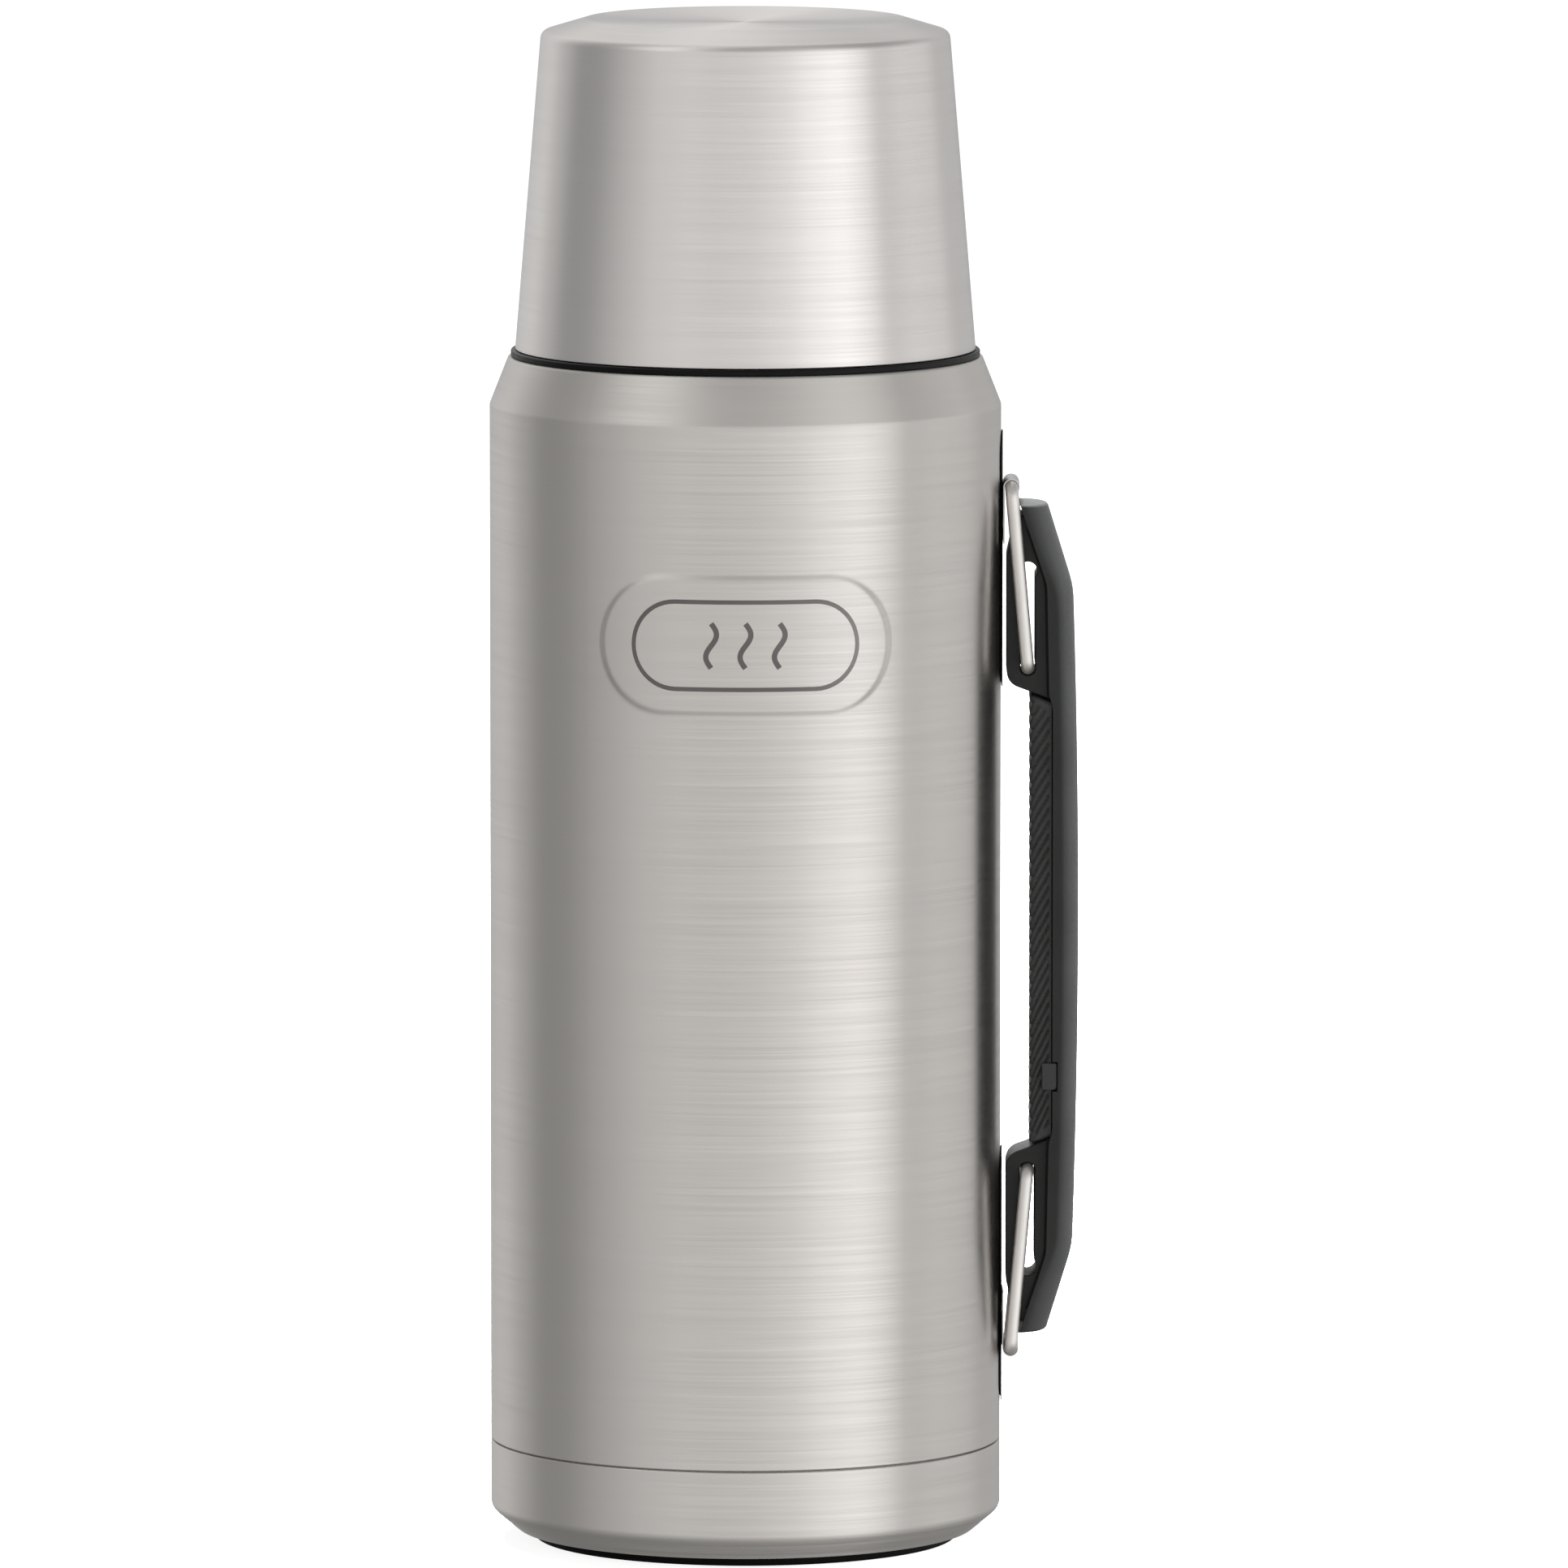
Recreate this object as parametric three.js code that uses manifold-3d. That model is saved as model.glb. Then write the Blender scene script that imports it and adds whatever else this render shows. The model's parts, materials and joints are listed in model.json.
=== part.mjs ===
// A stainless-steel vacuum flask: a double-walled bottle with a screw stopper, a cup that screws
// over it, and a carrying handle that hangs on two wire bails.
// Millimetres, +Z up. The origin is on the flask's axis, on the surface that it stands on.
// The handle is on the +X side.
import * as THREE from "three";
import { mergeVertices } from "three/addons/utils/BufferGeometryUtils.js";
import Module from "manifold-3d";

const wasm = await Module();
wasm.setup();

// ---- Driving dimensions ----

const FINE = 40; // facets round the large visible turned pieces
const COARSE = 28; // facets round the pieces inside
const TINY = 16; // facets round small pins, holes and wires

const STEEL = 0.45; // sheet steel of the bottle
const CLEAR = 0.1; // play between pieces that rest on each other

const BODY_R = 53;
const BODY_TOP_Z = 237;
const SHOULDER_R = 49.1;
const SHOULDER_Z = 246.9;
const SEAM_Z = 21; // joint between the base cup and the outer shell
const SEAM_GAP = 0.4;
const SKIRT_R = 52.1; // the shell's lower end, which the base cup goes over
const SKIRT_Z = 9.8;
const CHAMFER_R = 47.3;
const CHAMFER_Z = 6.7;
const BASE_Z = 2; // the steel's lowest edge
const PAD_R = 44;
const PAD_RECESS = 1;

const SHELL_NECK_R = 33;
const MOUTH_Z = 265.1;
const MOUTH_R = 29;
const SEAT_R = 25.5; // narrow throat that the stopper's lower seal closes
const SEAT_Z = 242.5;
const LINER_R = 47.5;
const LINER_Z = 15;
const LINER_WELD_Z = 24;
const LINER_SHOULDER_Z = 222;
const FOIL_R = 48.1;
const FOIL_THICK = 0.3;
const SEAL_HOLE_R = 2.9;

const COLLAR_R = 41.2; // sleeve that carries the cup's thread
const COLLAR_FLANGE_R = 48.6;
const COLLAR_FLANGE = 1.25;
const COLLAR_TOP_Z = 262.8;
const COLLAR_WALL = 1.8;

const CUP_RIM_R = 47.7;
const CUP_RIM_Z = 248.4;
const CUP_CORNER_R = 42.3;
const CUP_CORNER_Z = 314.1;
const CUP_FOOT_R = 33; // ring that the upturned cup stands on
const CUP_TOP_Z = 316.9;
const CUP_FOOT_DEPTH = 0.8;
const CUP_STEEL = 0.55;
const CUP_GAP = 2.2; // air between the cup's two walls
const CUP_CEILING_Z = 308;
const CUP_RING_R = 42.7;
const CUP_RING_TOP_Z = 262.8;

const CUP_THREAD = { starts: 3, lead: 15, depth: 1.2, root: 2, crest: 1 };
const CUP_THREAD_Z = SHOULDER_Z + 4;
const CUP_RIDGE = 195; // degrees that each ridge on the collar goes round
const CUP_LUG = 105; // and each one inside the cup's ring
const STOPPER_THREAD = { starts: 2, lead: 9, depth: 1.2, root: 2, crest: 0.9 };
const STOPPER_THREAD_Z = 252;
const STOPPER_RIDGE = 285;
const RIDGE_STEP = 10;
const RIDGE_SUNK = 0.4; // how far a ridge's foot reaches into its wall
const RIDGE_FADE = 0.12; // share of a ridge's length over which each end fades out

const STOPPER_R = 27.1;
const STOPPER_WALL = 1.8;
const STOPPER_BOTTOM_Z = 247;
const STOPPER_FLANGE_R = 33.6;
const STOPPER_FLANGE_Z = 266.4;
const STOPPER_FLANGE = 1.6;
const PLUG_R = 25.2; // the stopper's lower end, below its seal
const PLUG_Z = 243.8;
const PLUG_FLANGE = 0.7;
const PLUG_STEM = 3.9;
const LOWER_SEAL_R = 27.2;
const KNOB_R = 35.2;
const KNOB_TOP_R = 34;
const KNOB_TOP_Z = 283;
const KNOB_WALL = 1.5;
const KNOB_RIBS = 20;

// The handle's height, and what is symmetric about it, is measured from its middle.
const HANDLE_Z = 130;
const PIVOT_X = 55.1; // axis of a bail's crossbar, in its bracket
const PIVOT_H = 90;
const PIN_X = 58.5; // axis of a bail's other end, in the handle
const PIN_H = 52.4;
const WIRE_R = 1.35;
const ARM_Y = 8.1;
const WIRE_BEND = 2.2;
const WIRE_BUTT = 0.5; // gap where the wire's two ends meet, inside the bracket's eye
const WIRE_SIDES = 10;

const HANDLE_H = 86.4;
const BACK_X = 69.15;
const BACK_CORNER = { x: 68, h: 69 };
const BACK_END_X = 62.6;
const BACK_ROUND = 4;
const BACK_LEAN = 0.7; // how far an inset end moves in for each millimetre down
const COVER_WIDTH = 17;
const COVER_ROUND = 3.4;
const COVER_WALL = 2;
// The upper half of the edge where the cover's side walls stop, from the middle to the end.
const COVER_EDGE = [
  { x: 63.7, h: 44, radius: 0 },
  { x: 62.9, h: 47.2, radius: 0 },
  { x: 62.5, h: 69.8, radius: 1 },
  { x: 56.6, h: HANDLE_H, radius: 0 },
];
const FRAME_WIDTH = 13.2;
const FRAME_X = 54.1;
const FRAME_GAP = 0.3;
const SPINE_X = 63.5;
// The upper half of the frame's side towards the bottle, from the spine to the end.
const FRAME_FRONT = [
  { x: SPINE_X, h: 45.8, radius: 0 },
  { x: 59, h: 47.5, radius: 0 },
  { x: FRAME_X, h: 49.3, radius: 3.5 },
  { x: FRAME_X, h: 75.5, radius: 2 },
  { x: 54.9, h: 79, radius: 0 },
  { x: 56.6, h: 84.1, radius: 0 },
];
const GRIP_WIDTH = 14.8;
const GRIP_X = 58.9;
const GRIP_H = 47;
const GRIP_BACK_H = 45.4;
const GRIP_EDGE = 1.2;
const TAB = { x: 64.6, y: 8.3, from: -35.5, to: -29.9 };
const SLOT_NEAR_R = 1.65;
const SLOT_FAR_R = 1.95;
const SLOT_NECK = 2.95;
const SLOT_NEAR_H = 52.5;
const SLOT_FAR_H = 72.6;

const BRACKET_WIDTH = 12;
const BRACKET_STEEL = 0.3;
const EYE_R = 1.42;
const LEAF_END_H = 78.2;
const BOSS_H = 82;
const BOSS_R = 2.2;
const STRIP_WIDTH = 11;
const STRIP_THICK = 0.25;
const STRIP_FROM_H = 48;
const STRIP_TO_H = 101.5;

// ---- Materials ----

function material(color, roughness, metalness) {
  return new THREE.MeshStandardMaterial({ color, roughness, metalness });
}

const brushedSteel = material(0xb9b4b0, 0.38, 1);
const cupSteel = material(0xc6c2bf, 0.34, 1);
const plainSteel = material(0xb5b5b5, 0.3, 1);
const wireSteel = material(0xcfccc8, 0.22, 1);
const copperFoil = material(0xc08a62, 0.35, 1);
const getterGrey = material(0x6d6a66, 0.8, 0.4);
const blackPlastic = material(0x232423, 0.5, 0);
const handlePlastic = material(0x3a3b3b, 0.55, 0);
const gripRubber = material(0x343535, 0.85, 0);
const blackRubber = material(0x141414, 0.9, 0);
const whiteFoam = material(0xe9e6de, 0.95, 0);
const silicone = material(0xd8d8d4, 0.6, 0);

// ---- Outlines ----

function corner(x, y, radius = 0) {
  return { at: new THREE.Vector3(x, y, 0), radius };
}

// Points of a path whose corners are rounded to their radius, each arc in `pieces` chords.
function rounded(corners, closed, pieces = 2) {
  const points = [];
  corners.forEach(({ at, radius }, i) => {
    const isEnd = !closed && (i === 0 || i === corners.length - 1);
    if (isEnd || radius === 0) {
      points.push(at.clone());
      return;
    }
    const before = corners.at(i - 1).at;
    const after = corners[(i + 1) % corners.length].at;
    const toBefore = before.clone().sub(at).normalize();
    const toAfter = after.clone().sub(at).normalize();
    const half = toBefore.angleTo(toAfter) / 2;
    const middle = toBefore.clone().add(toAfter).normalize();
    const centre = at.clone().addScaledVector(middle, radius / Math.sin(half));
    const reach = radius / Math.tan(half);
    const first = at.clone().addScaledVector(toBefore, reach).sub(centre);
    const last = at.clone().addScaledVector(toAfter, reach).sub(centre);
    const turn = first.angleTo(last);
    for (let k = 0; k <= pieces; k++) {
      const t = (turn * k) / pieces;
      const a = Math.sin(turn - t) / Math.sin(turn);
      const b = Math.sin(t) / Math.sin(turn);
      points.push(centre.clone().addScaledVector(first, a).addScaledVector(last, b));
    }
  });
  return points;
}

function flat(points) {
  return points.map(({ x, y }) => new THREE.Vector2(x, y));
}

function shapeOf(corners, pieces) {
  return new THREE.Shape(flat(rounded(corners, true, pieces)));
}

function circle(radius, sides) {
  const points = [];
  for (let i = 0; i < sides; i++) {
    const angle = (2 * Math.PI * i) / sides;
    points.push(new THREE.Vector2(radius * Math.cos(angle), radius * Math.sin(angle)));
  }
  return new THREE.Shape(points);
}

// A closed outline of corners and its mirror image below, for pieces symmetric about their middle.
function mirrored(upper) {
  const lower = upper.map(({ at, radius }) => corner(at.x, -at.y, radius));
  return [...upper, ...lower.reverse()];
}

// ---- Solids ----

// A turned piece. Its profile is corners of (radius, height), anticlockwise, either a closed ring
// or from the axis back to the axis.
function turned(corners, segments, pieces) {
  const open = corners[0].at.x === 0;
  const profile = flat(rounded(corners, !open, pieces));
  if (!open) profile.push(profile[0].clone());
  return new THREE.LatheGeometry(profile, segments).rotateX(Math.PI / 2);
}

// A plate whose outline is corners of (x, z), centred on y = 0.
function plate(shape, width, bevel) {
  const inset = bevel ? bevel.bevelThickness : 0;
  const options = { depth: width - 2 * inset, curveSegments: TINY, bevelEnabled: false, ...bevel };
  const geometry = new THREE.ExtrudeGeometry(shape, options);
  return geometry.rotateX(Math.PI / 2).translate(0, width / 2 - inset, 0);
}

// A round bar along y, for pins and cross holes, and one along z.
function round(radius, length, sides = TINY) {
  return new THREE.CylinderGeometry(radius, radius, length, sides);
}

function upright(radius, length, sides = TINY) {
  return round(radius, length, sides).rotateX(Math.PI / 2);
}

function solid(geometry) {
  const plain = new THREE.BufferGeometry();
  plain.setAttribute("position", geometry.getAttribute("position").clone());
  if (geometry.index) plain.setIndex(geometry.index);
  const merged = mergeVertices(plain, 1e-4);
  const vertProperties = merged.attributes.position.array;
  const triVerts = new Uint32Array(merged.index.array);
  return new wasm.Manifold(new wasm.Mesh({ numProp: 3, vertProperties, triVerts }));
}

function geometryOf(manifold) {
  const { vertProperties, triVerts } = manifold.getMesh();
  const geometry = new THREE.BufferGeometry();
  geometry.setAttribute("position", new THREE.BufferAttribute(vertProperties, 3));
  geometry.setIndex(new THREE.BufferAttribute(triVerts, 1));
  geometry.computeVertexNormals();
  return geometry;
}

function join(first, ...others) {
  return geometryOf(others.reduce((sum, g) => sum.add(solid(g)), solid(first)));
}

function cut(first, ...tools) {
  return geometryOf(tools.reduce((left, g) => left.subtract(solid(g)), solid(first)));
}

function common(first, second) {
  return geometryOf(solid(first).intersect(solid(second)));
}

// One ridge of a screw thread: a bar wrapped round the axis, rising by the lead in each turn.
// `side` is 1 for a ridge on the outside of its wall and -1 for one on the inside.
function ridge(thread, wallRadius, side, fromZ, fromAngle, sweep) {
  const { lead, depth, root, crest } = thread;
  const foot = root / 2 + ((root - crest) / 2) * (RIDGE_SUNK / depth);
  const outline = [
    new THREE.Vector2(-RIDGE_SUNK, -foot),
    new THREE.Vector2(depth, -crest / 2),
    new THREE.Vector2(depth, crest / 2),
    new THREE.Vector2(-RIDGE_SUNK, foot),
  ];
  const options = { depth: 1, steps: Math.round(sweep / RIDGE_STEP), bevelEnabled: false };
  const geometry = new THREE.ExtrudeGeometry(new THREE.Shape(outline), options);
  const position = geometry.getAttribute("position");
  for (let i = 0; i < position.count; i++) {
    const along = side > 0 ? 1 - position.getZ(i) : position.getZ(i);
    const fade = THREE.MathUtils.clamp(Math.min(along, 1 - along) / RIDGE_FADE, 0.1, 1);
    const height = position.getX(i);
    const radius = wallRadius + side * (height > 0 ? height * fade : height);
    const angle = THREE.MathUtils.degToRad(fromAngle + sweep * along);
    const z = fromZ + position.getY(i) + (lead * sweep * along) / 360;
    position.setXYZ(i, radius * Math.cos(angle), radius * Math.sin(angle), z);
  }
  return geometry;
}

function ridges(thread, wallRadius, side, fromZ, fromAngle, sweep) {
  const all = [];
  for (let k = 0; k < thread.starts; k++) {
    const angle = fromAngle + (360 * k) / thread.starts;
    all.push(ridge(thread, wallRadius, side, fromZ, angle, sweep));
  }
  return all;
}

// A path through points that already lie close together round its bends.
class BentPath extends THREE.Curve {
  constructor(points) {
    super();
    this.points = points;
  }

  getPointAt(u, target = new THREE.Vector3()) {
    const place = u * (this.points.length - 1);
    const i = Math.min(Math.floor(place), this.points.length - 2);
    return target.lerpVectors(this.points[i], this.points[i + 1], place - i);
  }

  getTangentAt(u, target = new THREE.Vector3()) {
    const i = Math.round(u * (this.points.length - 1));
    const before = this.points[Math.max(i - 1, 0)];
    const after = this.points[Math.min(i + 1, this.points.length - 1)];
    return target.subVectors(after, before).normalize();
  }
}

// ---- The bottle ----

function outerShell() {
  const inner = BODY_R - STEEL;
  const neckTop = MOUTH_Z - STEEL - CLEAR;
  return turned(
    [
      corner(SKIRT_R - STEEL, SKIRT_Z),
      corner(SKIRT_R, SKIRT_Z),
      corner(SKIRT_R, SEAM_Z),
      corner(BODY_R, SEAM_Z + SEAM_GAP / 2),
      corner(BODY_R, BODY_TOP_Z, 3),
      corner(SHOULDER_R, SHOULDER_Z, 0.8),
      corner(SHELL_NECK_R, SHOULDER_Z),
      corner(SHELL_NECK_R, neckTop),
      corner(SHELL_NECK_R - STEEL, neckTop),
      corner(SHELL_NECK_R - STEEL, SHOULDER_Z - STEEL),
      corner(SHOULDER_R - STEEL, SHOULDER_Z - STEEL),
      corner(inner, BODY_TOP_Z - STEEL / 3, 3),
      corner(inner, SEAM_Z + 1),
      corner(SKIRT_R - STEEL, SEAM_Z),
    ],
    FINE,
    2,
  );
}

function baseCup() {
  const inner = BODY_R - STEEL;
  const recess = PAD_R + 0.3;
  const floor = BASE_Z + PAD_RECESS;
  const top = SEAM_Z - SEAM_GAP / 2;
  return turned(
    [
      corner(0, floor),
      corner(recess, floor),
      corner(recess, BASE_Z),
      corner(CHAMFER_R, BASE_Z, 1.5),
      corner(BODY_R, CHAMFER_Z, 2.5),
      corner(BODY_R, top),
      corner(inner, top),
      corner(inner, CHAMFER_Z + STEEL / 2),
      corner(CHAMFER_R - STEEL / 2, BASE_Z + STEEL),
      corner(recess + STEEL, BASE_Z + STEEL),
      corner(recess + STEEL, floor + STEEL),
      corner(0, floor + STEEL),
    ],
    FINE,
    2,
  );
}

function basePad() {
  const top = BASE_Z + PAD_RECESS - CLEAR;
  const groove = { from: 34, to: 37, depth: 0.7 };
  return turned(
    [
      corner(0, 0),
      corner(groove.from, 0),
      corner(groove.from, groove.depth),
      corner(groove.to, groove.depth),
      corner(groove.to, 0),
      corner(PAD_R, 0, 0.8),
      corner(PAD_R, top),
      corner(0, top),
    ],
    COARSE,
    1,
  );
}

function outerBaseDisc() {
  const rim = SKIRT_R - STEEL - CLEAR;
  const flangeTop = SKIRT_Z + 4;
  return turned(
    [
      corner(SEAL_HOLE_R, SKIRT_Z),
      corner(rim, SKIRT_Z),
      corner(rim, flangeTop),
      corner(rim - STEEL, flangeTop),
      corner(rim - STEEL, SKIRT_Z + STEEL),
      corner(SEAL_HOLE_R, SKIRT_Z + STEEL),
    ],
    FINE,
  );
}

function vacuumSealPlug() {
  const stem = SEAL_HOLE_R - 0.3;
  const head = { radius: SEAL_HOLE_R + 1.2, height: 1.2 };
  return turned(
    [
      corner(0, SKIRT_Z - head.height),
      corner(head.radius, SKIRT_Z - head.height, 0.5),
      corner(head.radius, SKIRT_Z - CLEAR),
      corner(stem, SKIRT_Z - CLEAR),
      corner(stem, SKIRT_Z + 1),
      corner(0, SKIRT_Z + 1),
    ],
    TINY,
    2,
  );
}

function innerVessel() {
  const inner = LINER_R - STEEL;
  const lipUnder = MOUTH_Z - STEEL;
  const seatTop = SEAT_Z + MOUTH_R - SEAT_R;
  const throat = SEAT_Z - 3.5;
  const wall = turned(
    [
      corner(inner, LINER_WELD_Z + CLEAR),
      corner(LINER_R, LINER_WELD_Z + CLEAR),
      corner(LINER_R, LINER_SHOULDER_Z, 10),
      corner(SEAT_R + STEEL, throat, 3),
      corner(SEAT_R + STEEL, SEAT_Z - STEEL / 2),
      corner(MOUTH_R + STEEL, seatTop - STEEL / 2),
      corner(MOUTH_R + STEEL, lipUnder),
      corner(SHELL_NECK_R, lipUnder),
      corner(SHELL_NECK_R, MOUTH_Z),
      corner(MOUTH_R, MOUTH_Z),
      corner(MOUTH_R, seatTop),
      corner(SEAT_R, SEAT_Z),
      corner(SEAT_R, throat - STEEL / 2, 3),
      corner(inner, LINER_SHOULDER_Z - STEEL / 2, 10),
    ],
    COARSE,
  );
  const thread = ridges(STOPPER_THREAD, MOUTH_R, -1, STOPPER_THREAD_Z, 0, STOPPER_RIDGE);
  return join(wall, ...thread);
}

function innerVesselBase() {
  const inner = LINER_R - STEEL;
  return turned(
    [
      corner(0, LINER_Z),
      corner(LINER_R, LINER_Z, 6),
      corner(LINER_R, LINER_WELD_Z),
      corner(inner, LINER_WELD_Z),
      corner(inner, LINER_Z + STEEL, 6 - STEEL),
      corner(0, LINER_Z + STEEL),
    ],
    COARSE,
  );
}

function radiationFoil() {
  const top = LINER_SHOULDER_Z - 4;
  return turned(
    [
      corner(FOIL_R, LINER_WELD_Z),
      corner(FOIL_R + FOIL_THICK, LINER_WELD_Z),
      corner(FOIL_R + FOIL_THICK, top),
      corner(FOIL_R, top),
    ],
    COARSE,
  );
}

function getter() {
  const pellet = { radius: 5, height: 1.6, fromAxis: 25 };
  const z = SKIRT_Z + STEEL + CLEAR + pellet.height / 2;
  return upright(pellet.radius, pellet.height).translate(pellet.fromAxis, 0, z);
}

function neckCollar() {
  const foot = SHOULDER_Z + CLEAR;
  const flangeTop = foot + COLLAR_FLANGE;
  const deckUnder = COLLAR_TOP_Z - COLLAR_WALL;
  const bore = SHELL_NECK_R + 0.3;
  const wall = turned(
    [
      corner(bore, foot),
      corner(bore + COLLAR_WALL, foot),
      corner(bore + COLLAR_WALL, deckUnder),
      corner(COLLAR_R - COLLAR_WALL, deckUnder),
      corner(COLLAR_R - COLLAR_WALL, foot),
      corner(COLLAR_FLANGE_R, foot, 0.3),
      corner(COLLAR_FLANGE_R, flangeTop, 0.3),
      corner(COLLAR_R, flangeTop),
      corner(COLLAR_R, COLLAR_TOP_Z, 0.8),
      corner(bore, COLLAR_TOP_Z),
    ],
    FINE,
    1,
  );
  return join(wall, ...ridges(CUP_THREAD, COLLAR_R, 1, CUP_THREAD_Z, 0, CUP_RIDGE));
}

// ---- The stopper ----

function stopperBody() {
  const inner = STOPPER_R - STOPPER_WALL;
  const top = STOPPER_FLANGE_Z + STOPPER_FLANGE;
  const wall = turned(
    [
      corner(0, STOPPER_FLANGE_Z),
      corner(inner, STOPPER_FLANGE_Z),
      corner(inner, STOPPER_BOTTOM_Z),
      corner(STOPPER_R, STOPPER_BOTTOM_Z),
      corner(STOPPER_R, STOPPER_FLANGE_Z),
      corner(STOPPER_FLANGE_R, STOPPER_FLANGE_Z),
      corner(STOPPER_FLANGE_R, top),
      corner(0, top),
    ],
    COARSE,
  );
  const fromZ = STOPPER_THREAD_Z + STOPPER_THREAD.lead / STOPPER_THREAD.starts / 2;
  return join(wall, ...ridges(STOPPER_THREAD, STOPPER_R, 1, fromZ, 0, STOPPER_RIDGE));
}

function stopperCap() {
  const bottom = STOPPER_FLANGE_Z + CLEAR;
  const inner = KNOB_R - KNOB_WALL;
  const knob = turned(
    [
      corner(0, KNOB_TOP_Z - KNOB_WALL),
      corner(KNOB_TOP_R - KNOB_WALL, KNOB_TOP_Z - KNOB_WALL, 1),
      corner(inner, STOPPER_FLANGE_Z + STOPPER_FLANGE),
      corner(inner, bottom),
      corner(KNOB_R, bottom),
      corner(KNOB_TOP_R, KNOB_TOP_Z, 2.5),
      corner(0, KNOB_TOP_Z),
    ],
    COARSE,
    2,
  );
  const rib = { width: 2.4, depth: 1.6, from: bottom + 1.5, to: KNOB_TOP_Z - 3.5 };
  const ribs = [];
  for (let k = 0; k < KNOB_RIBS; k++) {
    const bar = new THREE.BoxGeometry(rib.depth, rib.width, rib.to - rib.from);
    bar.translate(KNOB_R, 0, (rib.from + rib.to) / 2).rotateZ((2 * Math.PI * k) / KNOB_RIBS);
    ribs.push(bar);
  }
  return join(knob, ...ribs);
}

function stopperFoam() {
  const from = PLUG_Z + PLUG_FLANGE + PLUG_STEM + CLEAR;
  const height = STOPPER_FLANGE_Z - CLEAR - from;
  const radius = STOPPER_R - STOPPER_WALL - 0.3;
  return upright(radius, height, COARSE).translate(0, 0, from + height / 2);
}

function stopperBase() {
  const stem = STOPPER_R - STOPPER_WALL - 0.4;
  return turned(
    [
      corner(0, PLUG_Z),
      corner(PLUG_R, PLUG_Z),
      corner(PLUG_R, PLUG_Z + PLUG_FLANGE),
      corner(stem, PLUG_Z + PLUG_FLANGE),
      corner(stem, PLUG_Z + PLUG_FLANGE + PLUG_STEM),
      corner(0, PLUG_Z + PLUG_FLANGE + PLUG_STEM),
    ],
    COARSE,
  );
}

function stopperLowerSeal() {
  const inner = STOPPER_R - STOPPER_WALL - 0.2;
  const from = PLUG_Z + PLUG_FLANGE + CLEAR;
  const to = STOPPER_BOTTOM_Z - CLEAR;
  return turned(
    [
      corner(inner, from),
      corner(LOWER_SEAL_R, from, 0.8),
      corner(LOWER_SEAL_R, to),
      corner(inner, to),
    ],
    COARSE,
    2,
  );
}

function stopperUpperSeal() {
  const from = MOUTH_Z + CLEAR;
  const to = STOPPER_FLANGE_Z - CLEAR;
  return turned(
    [
      corner(MOUTH_R + 0.6, from),
      corner(SHELL_NECK_R, from),
      corner(SHELL_NECK_R, to),
      corner(MOUTH_R + 0.6, to),
    ],
    COARSE,
  );
}

// ---- The cup ----

// Radius of the cup's outside at a height on its tapered wall.
function cupRadius(z) {
  const share = (z - CUP_RIM_Z) / (CUP_CORNER_Z - CUP_RIM_Z);
  return THREE.MathUtils.lerp(CUP_RIM_R, CUP_CORNER_R, share);
}

function cupShell() {
  const footInner = CUP_FOOT_R - 1.4;
  const floor = CUP_TOP_Z - CUP_FOOT_DEPTH;
  return turned(
    [
      corner(0, floor - CUP_STEEL),
      corner(footInner + CUP_STEEL, floor - CUP_STEEL),
      corner(CUP_FOOT_R - CUP_STEEL / 2, CUP_TOP_Z - CUP_STEEL),
      corner(CUP_CORNER_R - CUP_STEEL, CUP_CORNER_Z - CUP_STEEL / 2, 1),
      corner(CUP_RIM_R - CUP_STEEL, CUP_RIM_Z),
      corner(CUP_RIM_R, CUP_RIM_Z),
      corner(CUP_CORNER_R, CUP_CORNER_Z, 1.8),
      corner(CUP_FOOT_R, CUP_TOP_Z, 0.8),
      corner(footInner + 0.4, CUP_TOP_Z, 0.3),
      corner(footInner, floor),
      corner(0, floor),
    ],
    FINE,
    2,
  );
}

function cupLiner() {
  const from = CUP_RING_TOP_Z + CLEAR;
  const back = CUP_STEEL + CUP_GAP;
  const top = CUP_CEILING_Z + STEEL;
  return turned(
    [
      corner(0, CUP_CEILING_Z),
      corner(cupRadius(CUP_CEILING_Z) - back - STEEL, CUP_CEILING_Z, 4),
      corner(cupRadius(from) - back - STEEL, from),
      corner(cupRadius(from) - back, from),
      corner(cupRadius(top) - back, top, 4 + STEEL),
      corner(0, top),
    ],
    COARSE,
    2,
  );
}

function cupThreadRing() {
  const foot = CUP_RIM_Z + CLEAR;
  const back = CUP_STEEL + 0.25;
  const wall = turned(
    [
      corner(CUP_RING_R, foot),
      corner(cupRadius(foot) - back, foot),
      corner(cupRadius(CUP_RING_TOP_Z) - back, CUP_RING_TOP_Z),
      corner(CUP_RING_R, CUP_RING_TOP_Z),
    ],
    FINE,
  );
  const halfPitch = CUP_THREAD.lead / CUP_THREAD.starts / 2;
  const fromAngle = 20;
  const fromZ = CUP_THREAD_Z + halfPitch + (CUP_THREAD.lead * fromAngle) / 360;
  return join(wall, ...ridges(CUP_THREAD, CUP_RING_R, -1, fromZ, fromAngle, CUP_LUG));
}

// ---- The handle, in heights above its middle ----

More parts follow.
